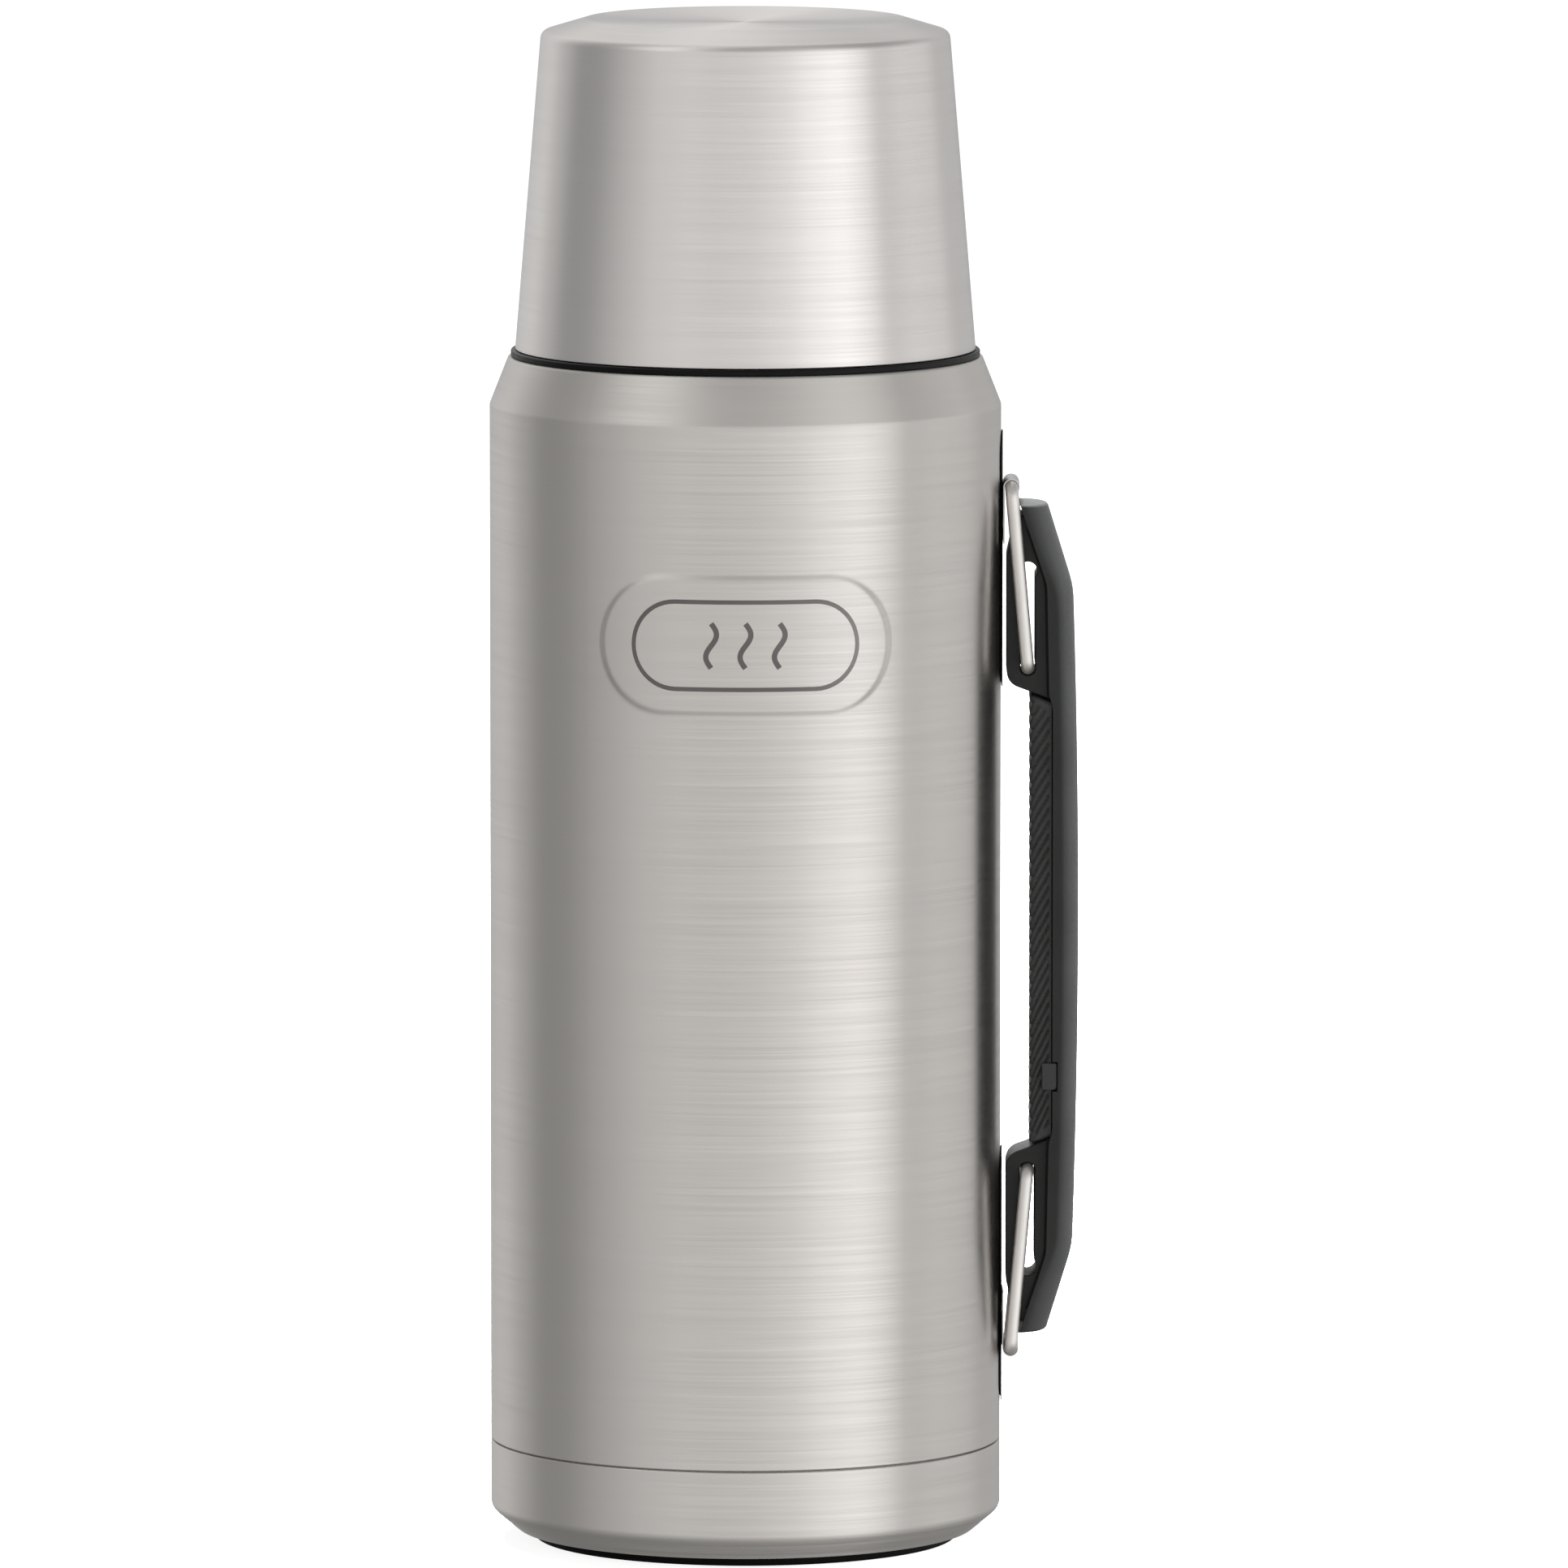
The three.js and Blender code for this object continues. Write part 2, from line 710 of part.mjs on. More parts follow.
// A strip of an upright cylinder's wall with rounded ends, bored for the bracket's weld boss.
function bracketPad() {
  const inner = BODY_R + CLEAR;
  const half = Math.asin(STRIP_WIDTH / 2 / inner);
  const arc = new THREE.Shape();
  arc.absarc(0, 0, inner + STRIP_THICK, -half, half, false);
  arc.absarc(0, 0, inner, half, -half, true);
  const length = STRIP_TO_H - STRIP_FROM_H;
  const options = { depth: length, curveSegments: 3, bevelEnabled: false };
  const strip = new THREE.ExtrudeGeometry(arc, options).translate(0, 0, STRIP_FROM_H);
  const end = STRIP_WIDTH / 2;
  const outline = shapeOf(
    [
      corner(-STRIP_WIDTH, STRIP_FROM_H, end),
      corner(0, STRIP_FROM_H, end),
      corner(0, STRIP_TO_H, end),
      corner(-STRIP_WIDTH, STRIP_TO_H, end),
    ],
    4,
  );
  const deep = 4;
  const stadium = new THREE.ExtrudeGeometry(outline, { depth: deep, bevelEnabled: false });
  stadium.rotateX(Math.PI / 2).rotateZ(Math.PI / 2).translate(inner - deep / 2, end, 0);
  const hole = round(BOSS_R + 0.3, deep).rotateZ(Math.PI / 2).translate(inner, 0, BOSS_H);
  return cut(common(strip, stadium), hole);
}

// A leaf of sheet steel, rolled at its end into an eye round the bail's crossbar.
function bracket() {
  const outer = EYE_R + BRACKET_STEEL;
  const outline = new THREE.Shape();
  outline.moveTo(PIVOT_X - outer, LEAF_END_H);
  outline.absarc(PIVOT_X, PIVOT_H, outer, Math.PI, -Math.PI / 2, true);
  outline.absarc(PIVOT_X, PIVOT_H, EYE_R, -Math.PI / 2, Math.PI, false);
  outline.lineTo(PIVOT_X - EYE_R, LEAF_END_H);
  const options = { depth: BRACKET_WIDTH, curveSegments: 10, bevelEnabled: false };
  const leaf = new THREE.ExtrudeGeometry(outline, options);
  leaf.rotateX(Math.PI / 2).translate(0, BRACKET_WIDTH / 2, 0);
  const bossFrom = BODY_R + 0.1;
  const bossTo = PIVOT_X - EYE_R - BRACKET_STEEL / 2;
  const boss = round(BOSS_R, bossTo - bossFrom).rotateZ(Math.PI / 2);
  return join(leaf, boss.translate((bossFrom + bossTo) / 2, 0, BOSS_H));
}

// A rectangular wire loop. Its ends meet in the bracket's eye.
function bail() {
  const path = [
    { at: new THREE.Vector3(PIVOT_X, WIRE_BUTT / 2, PIVOT_H), radius: 0 },
    { at: new THREE.Vector3(PIVOT_X, ARM_Y, PIVOT_H), radius: WIRE_BEND },
    { at: new THREE.Vector3(PIN_X, ARM_Y, PIN_H), radius: WIRE_BEND },
    { at: new THREE.Vector3(PIN_X, -ARM_Y, PIN_H), radius: WIRE_BEND },
    { at: new THREE.Vector3(PIVOT_X, -ARM_Y, PIVOT_H), radius: WIRE_BEND },
    { at: new THREE.Vector3(PIVOT_X, -WIRE_BUTT / 2, PIVOT_H), radius: 0 },
  ];
  const points = rounded(path, false, 4);
  const extrudePath = new BentPath(points);
  const options = { steps: points.length - 1, extrudePath, bevelEnabled: false };
  return new THREE.ExtrudeGeometry(circle(WIRE_R, WIRE_SIDES), options);
}

// The upper half of the handle's back, `inset` inside the cover's surface, from end to middle.
function handleBack(inset) {
  return [
    corner(BACK_END_X - inset * BACK_LEAN, HANDLE_H - inset),
    corner(BACK_CORNER.x - inset, BACK_CORNER.h - inset / 3, BACK_ROUND),
    corner(BACK_X - inset, HANDLE_H / 3),
  ];
}

// A list of handle corners, moved towards the bottle.
function movedIn(corners, shift) {
  return corners.map(({ x, h, radius }) => corner(x - shift, h, radius));
}

// The rounded shell that faces away from the flask, hollow for the frame's spine.
function handleCover() {
  const beyond = 2 * COVER_ROUND;
  const bevel = {
    bevelEnabled: true,
    bevelThickness: COVER_ROUND,
    bevelSize: COVER_ROUND,
    bevelOffset: -COVER_ROUND,
    bevelSegments: 3,
  };
  const block = plate(
    shapeOf(mirrored([...movedIn(COVER_EDGE, beyond), ...handleBack(0)])),
    COVER_WIDTH,
    bevel,
  );
  const outline = plate(
    shapeOf(mirrored([...movedIn(COVER_EDGE, 0), ...handleBack(-1)])),
    COVER_WIDTH + 1,
  );
  const cavityEnd = corner(FRAME_X, HANDLE_H - COVER_WALL);
  const cavity = plate(
    shapeOf(mirrored([cavityEnd, ...handleBack(COVER_WALL)])),
    FRAME_WIDTH + 2 * FRAME_GAP,
  );
  const notch = new THREE.BoxGeometry(
    2 * (TAB.x + 0.2 - SPINE_X + 2),
    2 * COVER_WIDTH,
    TAB.to - TAB.from + 2 * FRAME_GAP,
  ).translate(SPINE_X - 2, 0, (TAB.from + TAB.to) / 2);
  return cut(common(block, outline), cavity, notch);
}

// The inner frame: two eye plates with the bails' slots, joined by a spine inside the cover.
function handleFrame() {
  const frame = plate(
    shapeOf(mirrored([...movedIn(FRAME_FRONT, 0), ...handleBack(COVER_WALL + FRAME_GAP)])),
    FRAME_WIDTH,
  );
  const through = FRAME_WIDTH + 2;
  const tools = [];
  for (const end of [1, -1]) {
    tools.push(round(SLOT_NEAR_R, through).translate(PIN_X, 0, end * SLOT_NEAR_H));
    tools.push(round(SLOT_FAR_R, through).translate(PIN_X, 0, end * SLOT_FAR_H));
    const neck = new THREE.BoxGeometry(SLOT_NECK, through, SLOT_FAR_H - SLOT_NEAR_H);
    tools.push(neck.translate(PIN_X, 0, (end * (SLOT_NEAR_H + SLOT_FAR_H)) / 2));
  }
  return cut(frame, ...tools);
}

// The soft grip on the spine's inner side, with a tab that locks into a notch of the cover.
function handleGrip() {
  const bevel = {
    bevelEnabled: true,
    bevelThickness: GRIP_EDGE,
    bevelSize: GRIP_EDGE,
    bevelOffset: -GRIP_EDGE,
    bevelSegments: 2,
  };
  const outline = mirrored([corner(GRIP_X, GRIP_H), corner(SPINE_X - FRAME_GAP, GRIP_BACK_H)]);
  const pad = plate(shapeOf(outline), GRIP_WIDTH, bevel);
  const tabs = [1, -1].map((side) => {
    const from = FRAME_WIDTH / 2 + FRAME_GAP;
    const inner = SPINE_X - 2;
    const tab = new THREE.BoxGeometry(TAB.x - inner, TAB.y - from, TAB.to - TAB.from);
    const y = (side * (from + TAB.y)) / 2;
    return tab.translate((inner + TAB.x) / 2, y, (TAB.from + TAB.to) / 2);
  });
  return join(pad, ...tabs);
}

// ---- The assembly ----

function piece(name, geometry, finish) {
  const mesh = new THREE.Mesh(geometry, finish);
  mesh.name = name;
  return mesh;
}

// What holds the handle at one end: its pad, its bracket and its bail.
function suspension(end) {
  const group = new THREE.Group();
  group.add(
    piece(`${end}_bracket_pad`, bracketPad(), blackRubber),
    piece(`${end}_bracket`, bracket(), plainSteel),
    piece(`${end}_bail`, bail(), wireSteel),
  );
  return group;
}

const bottle = new THREE.Group();
bottle.add(
  piece("outer_shell", outerShell(), brushedSteel),
  piece("base_cup", baseCup(), brushedSteel),
  piece("base_pad", basePad(), blackRubber),
  piece("outer_base_disc", outerBaseDisc(), plainSteel),
  piece("vacuum_seal_plug", vacuumSealPlug(), plainSteel),
  piece("inner_vessel", innerVessel(), plainSteel),
  piece("inner_vessel_base", innerVesselBase(), plainSteel),
  piece("radiation_foil", radiationFoil(), copperFoil),
  piece("getter", getter(), getterGrey),
  piece("neck_collar", neckCollar(), blackPlastic),
);

const stopper = new THREE.Group();
stopper.add(
  piece("stopper_body", stopperBody(), blackPlastic),
  piece("stopper_cap", stopperCap(), blackPlastic),
  piece("stopper_foam", stopperFoam(), whiteFoam),
  piece("stopper_base", stopperBase(), blackPlastic),
  piece("stopper_lower_seal", stopperLowerSeal(), silicone),
  piece("stopper_upper_seal", stopperUpperSeal(), silicone),
);

const cup = new THREE.Group();
cup.add(
  piece("cup_shell", cupShell(), cupSteel),
  piece("cup_liner", cupLiner(), plainSteel),
  piece("cup_thread_ring", cupThreadRing(), blackPlastic),
);

const lowerSuspension = suspension("lower");
lowerSuspension.rotation.x = Math.PI; // the same pieces, upside down

const handle = new THREE.Group();
handle.position.z = HANDLE_Z;
handle.add(
  suspension("upper"),
  lowerSuspension,
  piece("handle_cover", handleCover(), handlePlastic),
  piece("handle_frame", handleFrame(), handlePlastic),
  piece("handle_grip", handleGrip(), gripRubber),
);

const flask = new THREE.Group();
flask.add(bottle, stopper, cup, handle);

export default flask;
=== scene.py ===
import json
import math

import bmesh
import bpy
from mathutils import Matrix, Vector


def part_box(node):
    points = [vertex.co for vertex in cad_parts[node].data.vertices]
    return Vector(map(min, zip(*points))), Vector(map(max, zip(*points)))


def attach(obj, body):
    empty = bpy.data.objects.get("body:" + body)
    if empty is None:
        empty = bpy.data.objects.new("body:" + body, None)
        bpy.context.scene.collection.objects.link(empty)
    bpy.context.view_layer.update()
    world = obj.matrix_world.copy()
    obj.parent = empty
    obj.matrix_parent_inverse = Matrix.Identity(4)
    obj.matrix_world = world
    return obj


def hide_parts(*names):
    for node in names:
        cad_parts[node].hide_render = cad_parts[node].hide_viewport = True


# A stainless-steel vacuum flask: its finished surfaces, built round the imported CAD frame.
# Shapes are worked out in millimetres in the frame's own axes: +Z up the flask's axis,
# +X towards the handle, -Y towards the front. A mesh is scaled to metres as it is made.

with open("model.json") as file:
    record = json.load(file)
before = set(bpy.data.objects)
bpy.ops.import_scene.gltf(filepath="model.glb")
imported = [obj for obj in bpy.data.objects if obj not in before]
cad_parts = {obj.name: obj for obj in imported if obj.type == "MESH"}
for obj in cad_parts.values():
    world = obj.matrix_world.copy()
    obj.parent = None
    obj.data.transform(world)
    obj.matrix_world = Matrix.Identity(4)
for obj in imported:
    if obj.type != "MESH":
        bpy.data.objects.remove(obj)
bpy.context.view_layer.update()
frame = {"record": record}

MM = 0.001
TURN = 2 * math.pi


class Extent:
    """A CAD node's box at rest, in millimetres."""

    def __init__(self, name):
        low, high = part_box(name)
        self.x0, self.y0, self.z0 = (value / MM for value in low)
        self.x1, self.y1, self.z1 = (value / MM for value in high)
        self.radius = (self.y1 - self.y0) / 2
        self.height = self.z1 - self.z0


# ---- Sizes ----

SHELL = Extent("outer_shell")
BASE = Extent("base_cup")
PAD = Extent("base_pad")
DISC = Extent("outer_base_disc")
PLUG = Extent("vacuum_seal_plug")
VESSEL = Extent("inner_vessel")
VESSEL_BASE = Extent("inner_vessel_base")
FOIL = Extent("radiation_foil")
GETTER = Extent("getter")
COLLAR = Extent("neck_collar")
KNOB = Extent("stopper_cap")
STOPPER = Extent("stopper_body")
FOAM = Extent("stopper_foam")
STOPPER_BASE = Extent("stopper_base")
LOWER_SEAL = Extent("stopper_lower_seal")
UPPER_SEAL = Extent("stopper_upper_seal")
CUP = Extent("cup_shell")
LINER = Extent("cup_liner")
RING = Extent("cup_thread_ring")
STRIP = Extent("upper_bracket_pad")
BRACKET = Extent("upper_bracket")
COVER = Extent("handle_cover")
FRAME = Extent("handle_frame")
GRIP = Extent("handle_grip")

SHEET = 0.45  # sheet steel of the bottle
ROUND = 56  # facets round small turned pieces
FULL = 192  # facets round large turned pieces

BODY_R = SHELL.radius
BODY_TOP_Z = 237
SHOULDER_R = 49.1
SHOULDER_Z = 246.9
SKIRT_R = 52.1
SEAM_Z = 21
SEAM_GAP = 0.4
NECK_R = 33
CHAMFER_R = 47.3
CHAMFER_Z = 6.7
BASE_RECESS = 1

MOUTH_R = 29
SEAT_R = 25.5
SEAT_Z = 242.5
LINER_SHOULDER_Z = 222

PANEL_Z = 192  # middle of the raised panel on the body's front
PANEL_LENGTH = 62
PANEL_HEIGHT = 28
PANEL_RISE = 0.45
PANEL_EDGE = 1.4  # width over which the panel's edge comes up

CUP_CORNER_R = 42.3
CUP_CORNER_Z = 314.1
CUP_FOOT_R = 33
CUP_FOOT_DEPTH = 0.8
CUP_SHEET = 0.55

CUP_THREAD = {"starts": 3, "lead": 15, "depth": 1.2, "root": 2, "crest": 1}
CUP_THREAD_Z = SHOULDER_Z + 4
STOPPER_THREAD = {"starts": 2, "lead": 9, "depth": 1.2, "root": 2, "crest": 0.9}
STOPPER_THREAD_Z = 252
COLLAR_R = 41.2
STOPPER_R = 27.1
RING_R = 42.7
KNOB_RIBS = 20

HANDLE_Z = (COVER.z0 + COVER.z1) / 2  # the handle is symmetric about this height
HANDLE_H = COVER.height / 2
COVER_HALF = COVER.y1
FRAME_HALF = FRAME.y1
GRIP_HALF = 7.4
GRIP_H = 47
GRIP_SLOPE = 0.37  # how fast its ends draw in towards its back
PIVOT_X = 55.1
PIVOT_H = 90
PIN_X = 58.5
PIN_H = 52.4
WIRE_R = 1.35
ARM_Y = 8.1
BOSS_H = 82
SLOT_NEAR = (52.5, 1.65)  # height and radius of the slot's two eyes
SLOT_FAR = (72.6, 1.95)
SLOT_HALF = 1.475
LATCH_X = 60
LATCH_LOW = -35.8
LATCH_HIGH = -29.6


# ---- Outlines ----


def rounded(corners, closed, pieces=5):
    """The polyline through (x, y) or (x, y, radius) corners, each radius drawn as an arc."""
    points = []
    count = len(corners)
    for i, (x, y, *radius) in enumerate(corners):
        at = Vector((x, y))
        if not radius or (not closed and i in (0, count - 1)):
            points.append((x, y))
            continue
        before = (Vector(corners[i - 1][:2]) - at).normalized()
        after = (Vector(corners[(i + 1) % count][:2]) - at).normalized()
        half = before.angle(after) / 2
        if half > math.pi / 2 - 0.01:
            points.append((x, y))
            continue
        middle = at + (before + after).normalized() * radius[0] / math.sin(half)
        start = at + before * radius[0] / math.tan(half) - middle
        end = at + after * radius[0] / math.tan(half) - middle
        sweep = start.angle_signed(end)
        for k in range(pieces + 1):
            turned = start.copy()
            turned.rotate(Matrix.Rotation(-sweep * k / pieces, 2))
            points.append(tuple(middle + turned))
    return points


def stretched(points, closed, step):
    """The same polyline with points at most a step apart."""
    ends = points[1:] + points[:1] if closed else points[1:]
    result = []
    for start, end in zip(points, ends):
        count = max(1, math.ceil(math.dist(start, end) / step))
        for k in range(count):
            share = k / count
            result.append(tuple(a + (b - a) * share for a, b in zip(start, end)))
    if not closed:
        result.append(points[-1])
    return result


def arc(x, y, radius, start, sweep, pieces):
    """Points round a centre, from one angle through a sweep."""
    angles = [start + sweep * k / pieces for k in range(pieces + 1)]
    return [(x + radius * math.cos(a), y + radius * math.sin(a)) for a in angles]


def smooth_least(a, b, width):
    share = min(1, max(0, 0.5 + 0.5 * (b - a) / width))
    return b + (a - b) * share - width * share * (1 - share)


def smooth_step(low, high, value):
    share = min(1, max(0, (value - low) / (high - low)))
    return share * share * (3 - 2 * share)


# ---- Meshes ----


def mesh_object(name, points, faces):
    mesh = bpy.data.meshes.new(name)
    mesh.from_pydata([tuple(c * MM for c in point) for point in points], [], faces)
    made = bpy.data.objects.new(name, mesh)
    bpy.context.scene.collection.objects.link(made)
    return made


def tidy(made, weld=1e-6, flip_to_outside=True):
    """Welds doubled points, drops faces with no area and turns the faces outward."""
    work = bmesh.new()
    work.from_mesh(made.data)
    bmesh.ops.remove_doubles(work, verts=work.verts, dist=weld)
    bmesh.ops.dissolve_degenerate(work, edges=work.edges, dist=weld / 10)
    if flip_to_outside:
        bmesh.ops.recalc_face_normals(work, faces=work.faces)
    work.to_mesh(made.data)
    work.free()
    return made


def even_angles(count):
    return [TURN * k / count for k in range(count)]


def revolve(name, corners, count=FULL, pieces=5, relief=None, step=None, angles=None):
    """A turned piece, its outline anticlockwise in (radius, height). Relief adds to the radius."""
    on_axis = corners[0][0] == 0
    outline = rounded(corners, not on_axis, pieces)
    if step:
        outline = stretched(outline, not on_axis, step)
    angles = angles or even_angles(count)
    points = []
    for a in angles:
        for r, z in outline:
            reach = r + relief(r, z, a) if relief and r > 0 else r
            points.append((reach * math.cos(a), reach * math.sin(a), z))
    rows = len(outline)
    last = rows - 1 if on_axis else rows
    faces = []
    for i in range(len(angles)):
        here = i * rows
        there = (i + 1) % len(angles) * rows
        for j in range(last):
            up = (j + 1) % rows
            faces.append((here + j, there + j, there + up, here + up))
    return tidy(mesh_object(name, points, faces), flip_to_outside=False)


def loft(name, rings):
    """A closed solid through rings of points, each with the same number of points."""
    size = len(rings[0])
    points = [point for ring in rings for point in ring]
    faces = []
    for i in range(len(rings) - 1):
        for j in range(size):
            k = (j + 1) % size
            faces.append((i * size + j, i * size + k, (i + 1) * size + k, (i + 1) * size + j))
    faces.append(tuple(range(size)))
    faces.append(tuple(range(len(points) - size, len(points))))
    return tidy(mesh_object(name, points, faces))


def rounded_bar(name, ring, high, fillet, pieces, count):
    """A bar along the handle with rounded ends. ring(height, inset) gives its outline."""
    angles = [math.pi / 2 * k / pieces for k in range(1, pieces + 1)]
    ends = [(high - fillet * (1 - math.sin(a)), fillet * (1 - math.cos(a))) for a in angles]
    inside = high - fillet
    rings = [ring(-h, inset) for h, inset in reversed(ends)]
    rings += [ring(inside * (2 * k / count - 1), 0) for k in range(count + 1)]
    rings += [ring(h, inset) for h, inset in ends]
    return loft(name, rings)


def plate(name, outline, half):
    """A flat plate of an (x, height) outline, from -half to half across the handle."""
    return loft(name, [[(x, y, z) for x, z in outline] for y in (-half, half)])


def turned_bar(name, radius, start, end, count=ROUND):
    """A round bar between two points."""
    axis = (Vector(end) - Vector(start)).normalized()
    side = axis.orthogonal().normalized()
    other = axis.cross(side)
    rings = []
    for at in (Vector(start), Vector(end)):
        spokes = [side * math.cos(a) + other * math.sin(a) for a in even_angles(count)]
        rings.append([tuple(at + spoke * radius) for spoke in spokes])
    return loft(name, rings)


def sweep(name, path, radius, sides=28):
    """A round wire along a path of points, bent without twist."""
    path = [Vector(point) for point in path]
    rings = []
    side = None
    for i, at in enumerate(path):
        ahead = path[min(i + 1, len(path) - 1)] - path[max(i - 1, 0)]
        ahead.normalize()
        side = ahead.orthogonal() if side is None else side - ahead * side.dot(ahead)
        side.normalize()
        other = ahead.cross(side)
        spokes = [side * math.cos(a) + other * math.sin(a) for a in even_angles(sides)]
        if 0 < i < len(path) - 1:
            before = (at - path[i - 1]).normalized()
            after = (path[i + 1] - at).normalized()
            stretch = 1 / max(0.5, math.cos(before.angle(after) / 2))
            bend = (after - before).normalized() if before.angle(after) > 1e-4 else None
        else:
            stretch, bend = 1, None
        ring = []
        for spoke in spokes:
            offset = spoke * radius
            if bend is not None:
                offset += bend * offset.dot(bend) * (stretch - 1)
            ring.append(tuple(at + offset))
        rings.append(ring)
    return loft(name, rings)


def bent_path(corners, pieces=8):
    """Points along a path of (point, bend radius) corners."""
    points = []
    for i, (at, radius) in enumerate(corners):
        at = Vector(at)
        if radius == 0:
            points.append(at)
            continue
        before = (Vector(corners[i - 1][0]) - at).normalized()
        after = (Vector(corners[i + 1][0]) - at).normalized()
        half = before.angle(after) / 2
        middle = at + (before + after).normalized() * radius / math.sin(half)
        start = at + before * radius / math.tan(half) - middle
        end = at + after * radius / math.tan(half) - middle
        for k in range(pieces + 1):
            points.append(middle + start.slerp(end, k / pieces).normalized() * start.length)
    return points


def use(made, kind, **settings):
    """Adds a modifier and applies it to the mesh."""
    modifier = made.modifiers.new(kind, kind)
    for key, value in settings.items():
        setattr(modifier, key, value)
    bpy.context.view_layer.update()
    graph = bpy.context.evaluated_depsgraph_get()
    mesh = bpy.data.meshes.new_from_object(made.evaluated_get(graph))
    made.modifiers.clear()
    old = made.data
    made.data = mesh
    bpy.data.meshes.remove(old)
    mesh.name = made.name
    return made


def combine(made, operation, *tools):
    for tool in tools:
        use(made, "BOOLEAN", operation=operation, object=tool, solver="EXACT")
        bpy.data.objects.remove(tool)
    return tidy(made, flip_to_outside=False)


def soften(made, width, segments=3, angle=35):
    """Rounds every edge sharper than an angle."""
    use(
        made, "BEVEL", width=width * MM, segments=segments, limit_method="ANGLE",
        angle_limit=math.radians(angle), use_clamp_overlap=True, miter_outer="MITER_ARC",
    )
    return tidy(made, flip_to_outside=False)


def flipped(made):
    """The piece turned half round the handle's middle, about the line towards the handle."""
    centre = Vector((0, 0, HANDLE_Z * MM))
    turn = Matrix.Rotation(math.pi, 4, "X")
    made.data.transform(Matrix.Translation(centre) @ turn @ Matrix.Translation(-centre))
    return made


def finished(made, node, material, sharp=32):
    """Smooths the piece, gives it its material, and lets it stand for its CAD node."""
    mesh = made.data
    mesh.shade_smooth()
    mesh.set_sharp_from_angle(angle=math.radians(sharp))
    weighted = made.modifiers.new("normals", "WEIGHTED_NORMAL")
    weighted.keep_sharp = True
    weighted.weight = 60
    mesh.materials.clear()
    mesh.materials.append(material)
    bodies = frame["record"]["behaviour"]["bodies"]
    body = next(name for name, members in bodies.items() if node in members)
    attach(made, body)
    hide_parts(node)


def turned_piece(node, kind, material, corners, **shape):
    finished(revolve(f"{node}_{kind}", corners, **shape), node, material)


# ---- Materials ----


class Nodes:
    """A node tree, and short ways to add to it."""

    def __init__(self, tree):
        self.tree = tree

    def put(self, socket, value):
        if isinstance(value, bpy.types.NodeSocket):
            self.tree.links.new(value, socket)
        else:
            socket.default_value = value

    def add(self, kind, settings=None, **inputs):
        made = self.tree.nodes.new(kind)
        for key, value in (settings or {}).items():
            setattr(made, key, value)
        for key, value in inputs.items():
            self.put(made.inputs[key.replace("_", " ")], value)
        return made

    def math(self, operation, *values):
        made = self.add("ShaderNodeMath", {"operation": operation})
        for socket, value in zip(made.inputs, values):
            self.put(socket, value)
        return made.outputs[0]

    def mixed(self, share, low, high, blend="MIX"):
        made = self.add("ShaderNodeMix", {"data_type": "RGBA", "blend_type": blend})
        for key, value in (("Factor", share), (6, low), (7, high)):
            self.put(made.inputs[key], value)
        return made.outputs[2]

    def split(self, output, seen, unseen):
        """Shows one shader to the camera and another to every other ray."""
        path = self.add("ShaderNodeLightPath")
        mix = self.add("ShaderNodeMixShader", Fac=path.outputs["Is Camera Ray"])
        self.put(mix.inputs[1], unseen.outputs[0])
        self.put(mix.inputs[2], seen.outputs[0])
        self.put(output.inputs[0], mix.outputs[0])


class Surface(Nodes):
    """A material's node tree, with one Principled surface."""

    def __init__(self, name, **inputs):
        self.material = bpy.data.materials.new(name)
        self.material.use_nodes = True
        super().__init__(self.material.node_tree)
        self.shader = self.tree.nodes["Principled BSDF"]
        self.set(**inputs)
        self.place = self.add("ShaderNodeTexCoord").outputs["Object"]

    def set(self, **inputs):
        for key, value in inputs.items():
            self.put(self.shader.inputs[key.replace("_", " ")], value)

    def noise(self, vector, scale, detail=2.0, roughness=0.5):
        made = self.add(
            "ShaderNodeTexNoise", Vector=vector, Scale=scale, Detail=detail, Roughness=roughness
        )
        return made.outputs["Fac"]

    def spread(self, value, low, high, from_low=0.3, from_high=0.7):
        """Value, spread from its usual range over low to high."""
        made = self.add(
            "ShaderNodeMapRange", {"clamp": True},
            Value=value, From_Min=from_low, From_Max=from_high, To_Min=low, To_Max=high,
        )
        return made.outputs["Result"]

    def between(self, share, dark, light):
        return self.mixed(share, (*dark, 1), (*light, 1))

    def bump(self, height, strength, depth):
        made = self.add("ShaderNodeBump", Height=height, Strength=strength, Distance=depth * MM)
        self.set(Normal=made.outputs["Normal"])


def scaled(color, share):
    return tuple(min(1, c * share) for c in color)


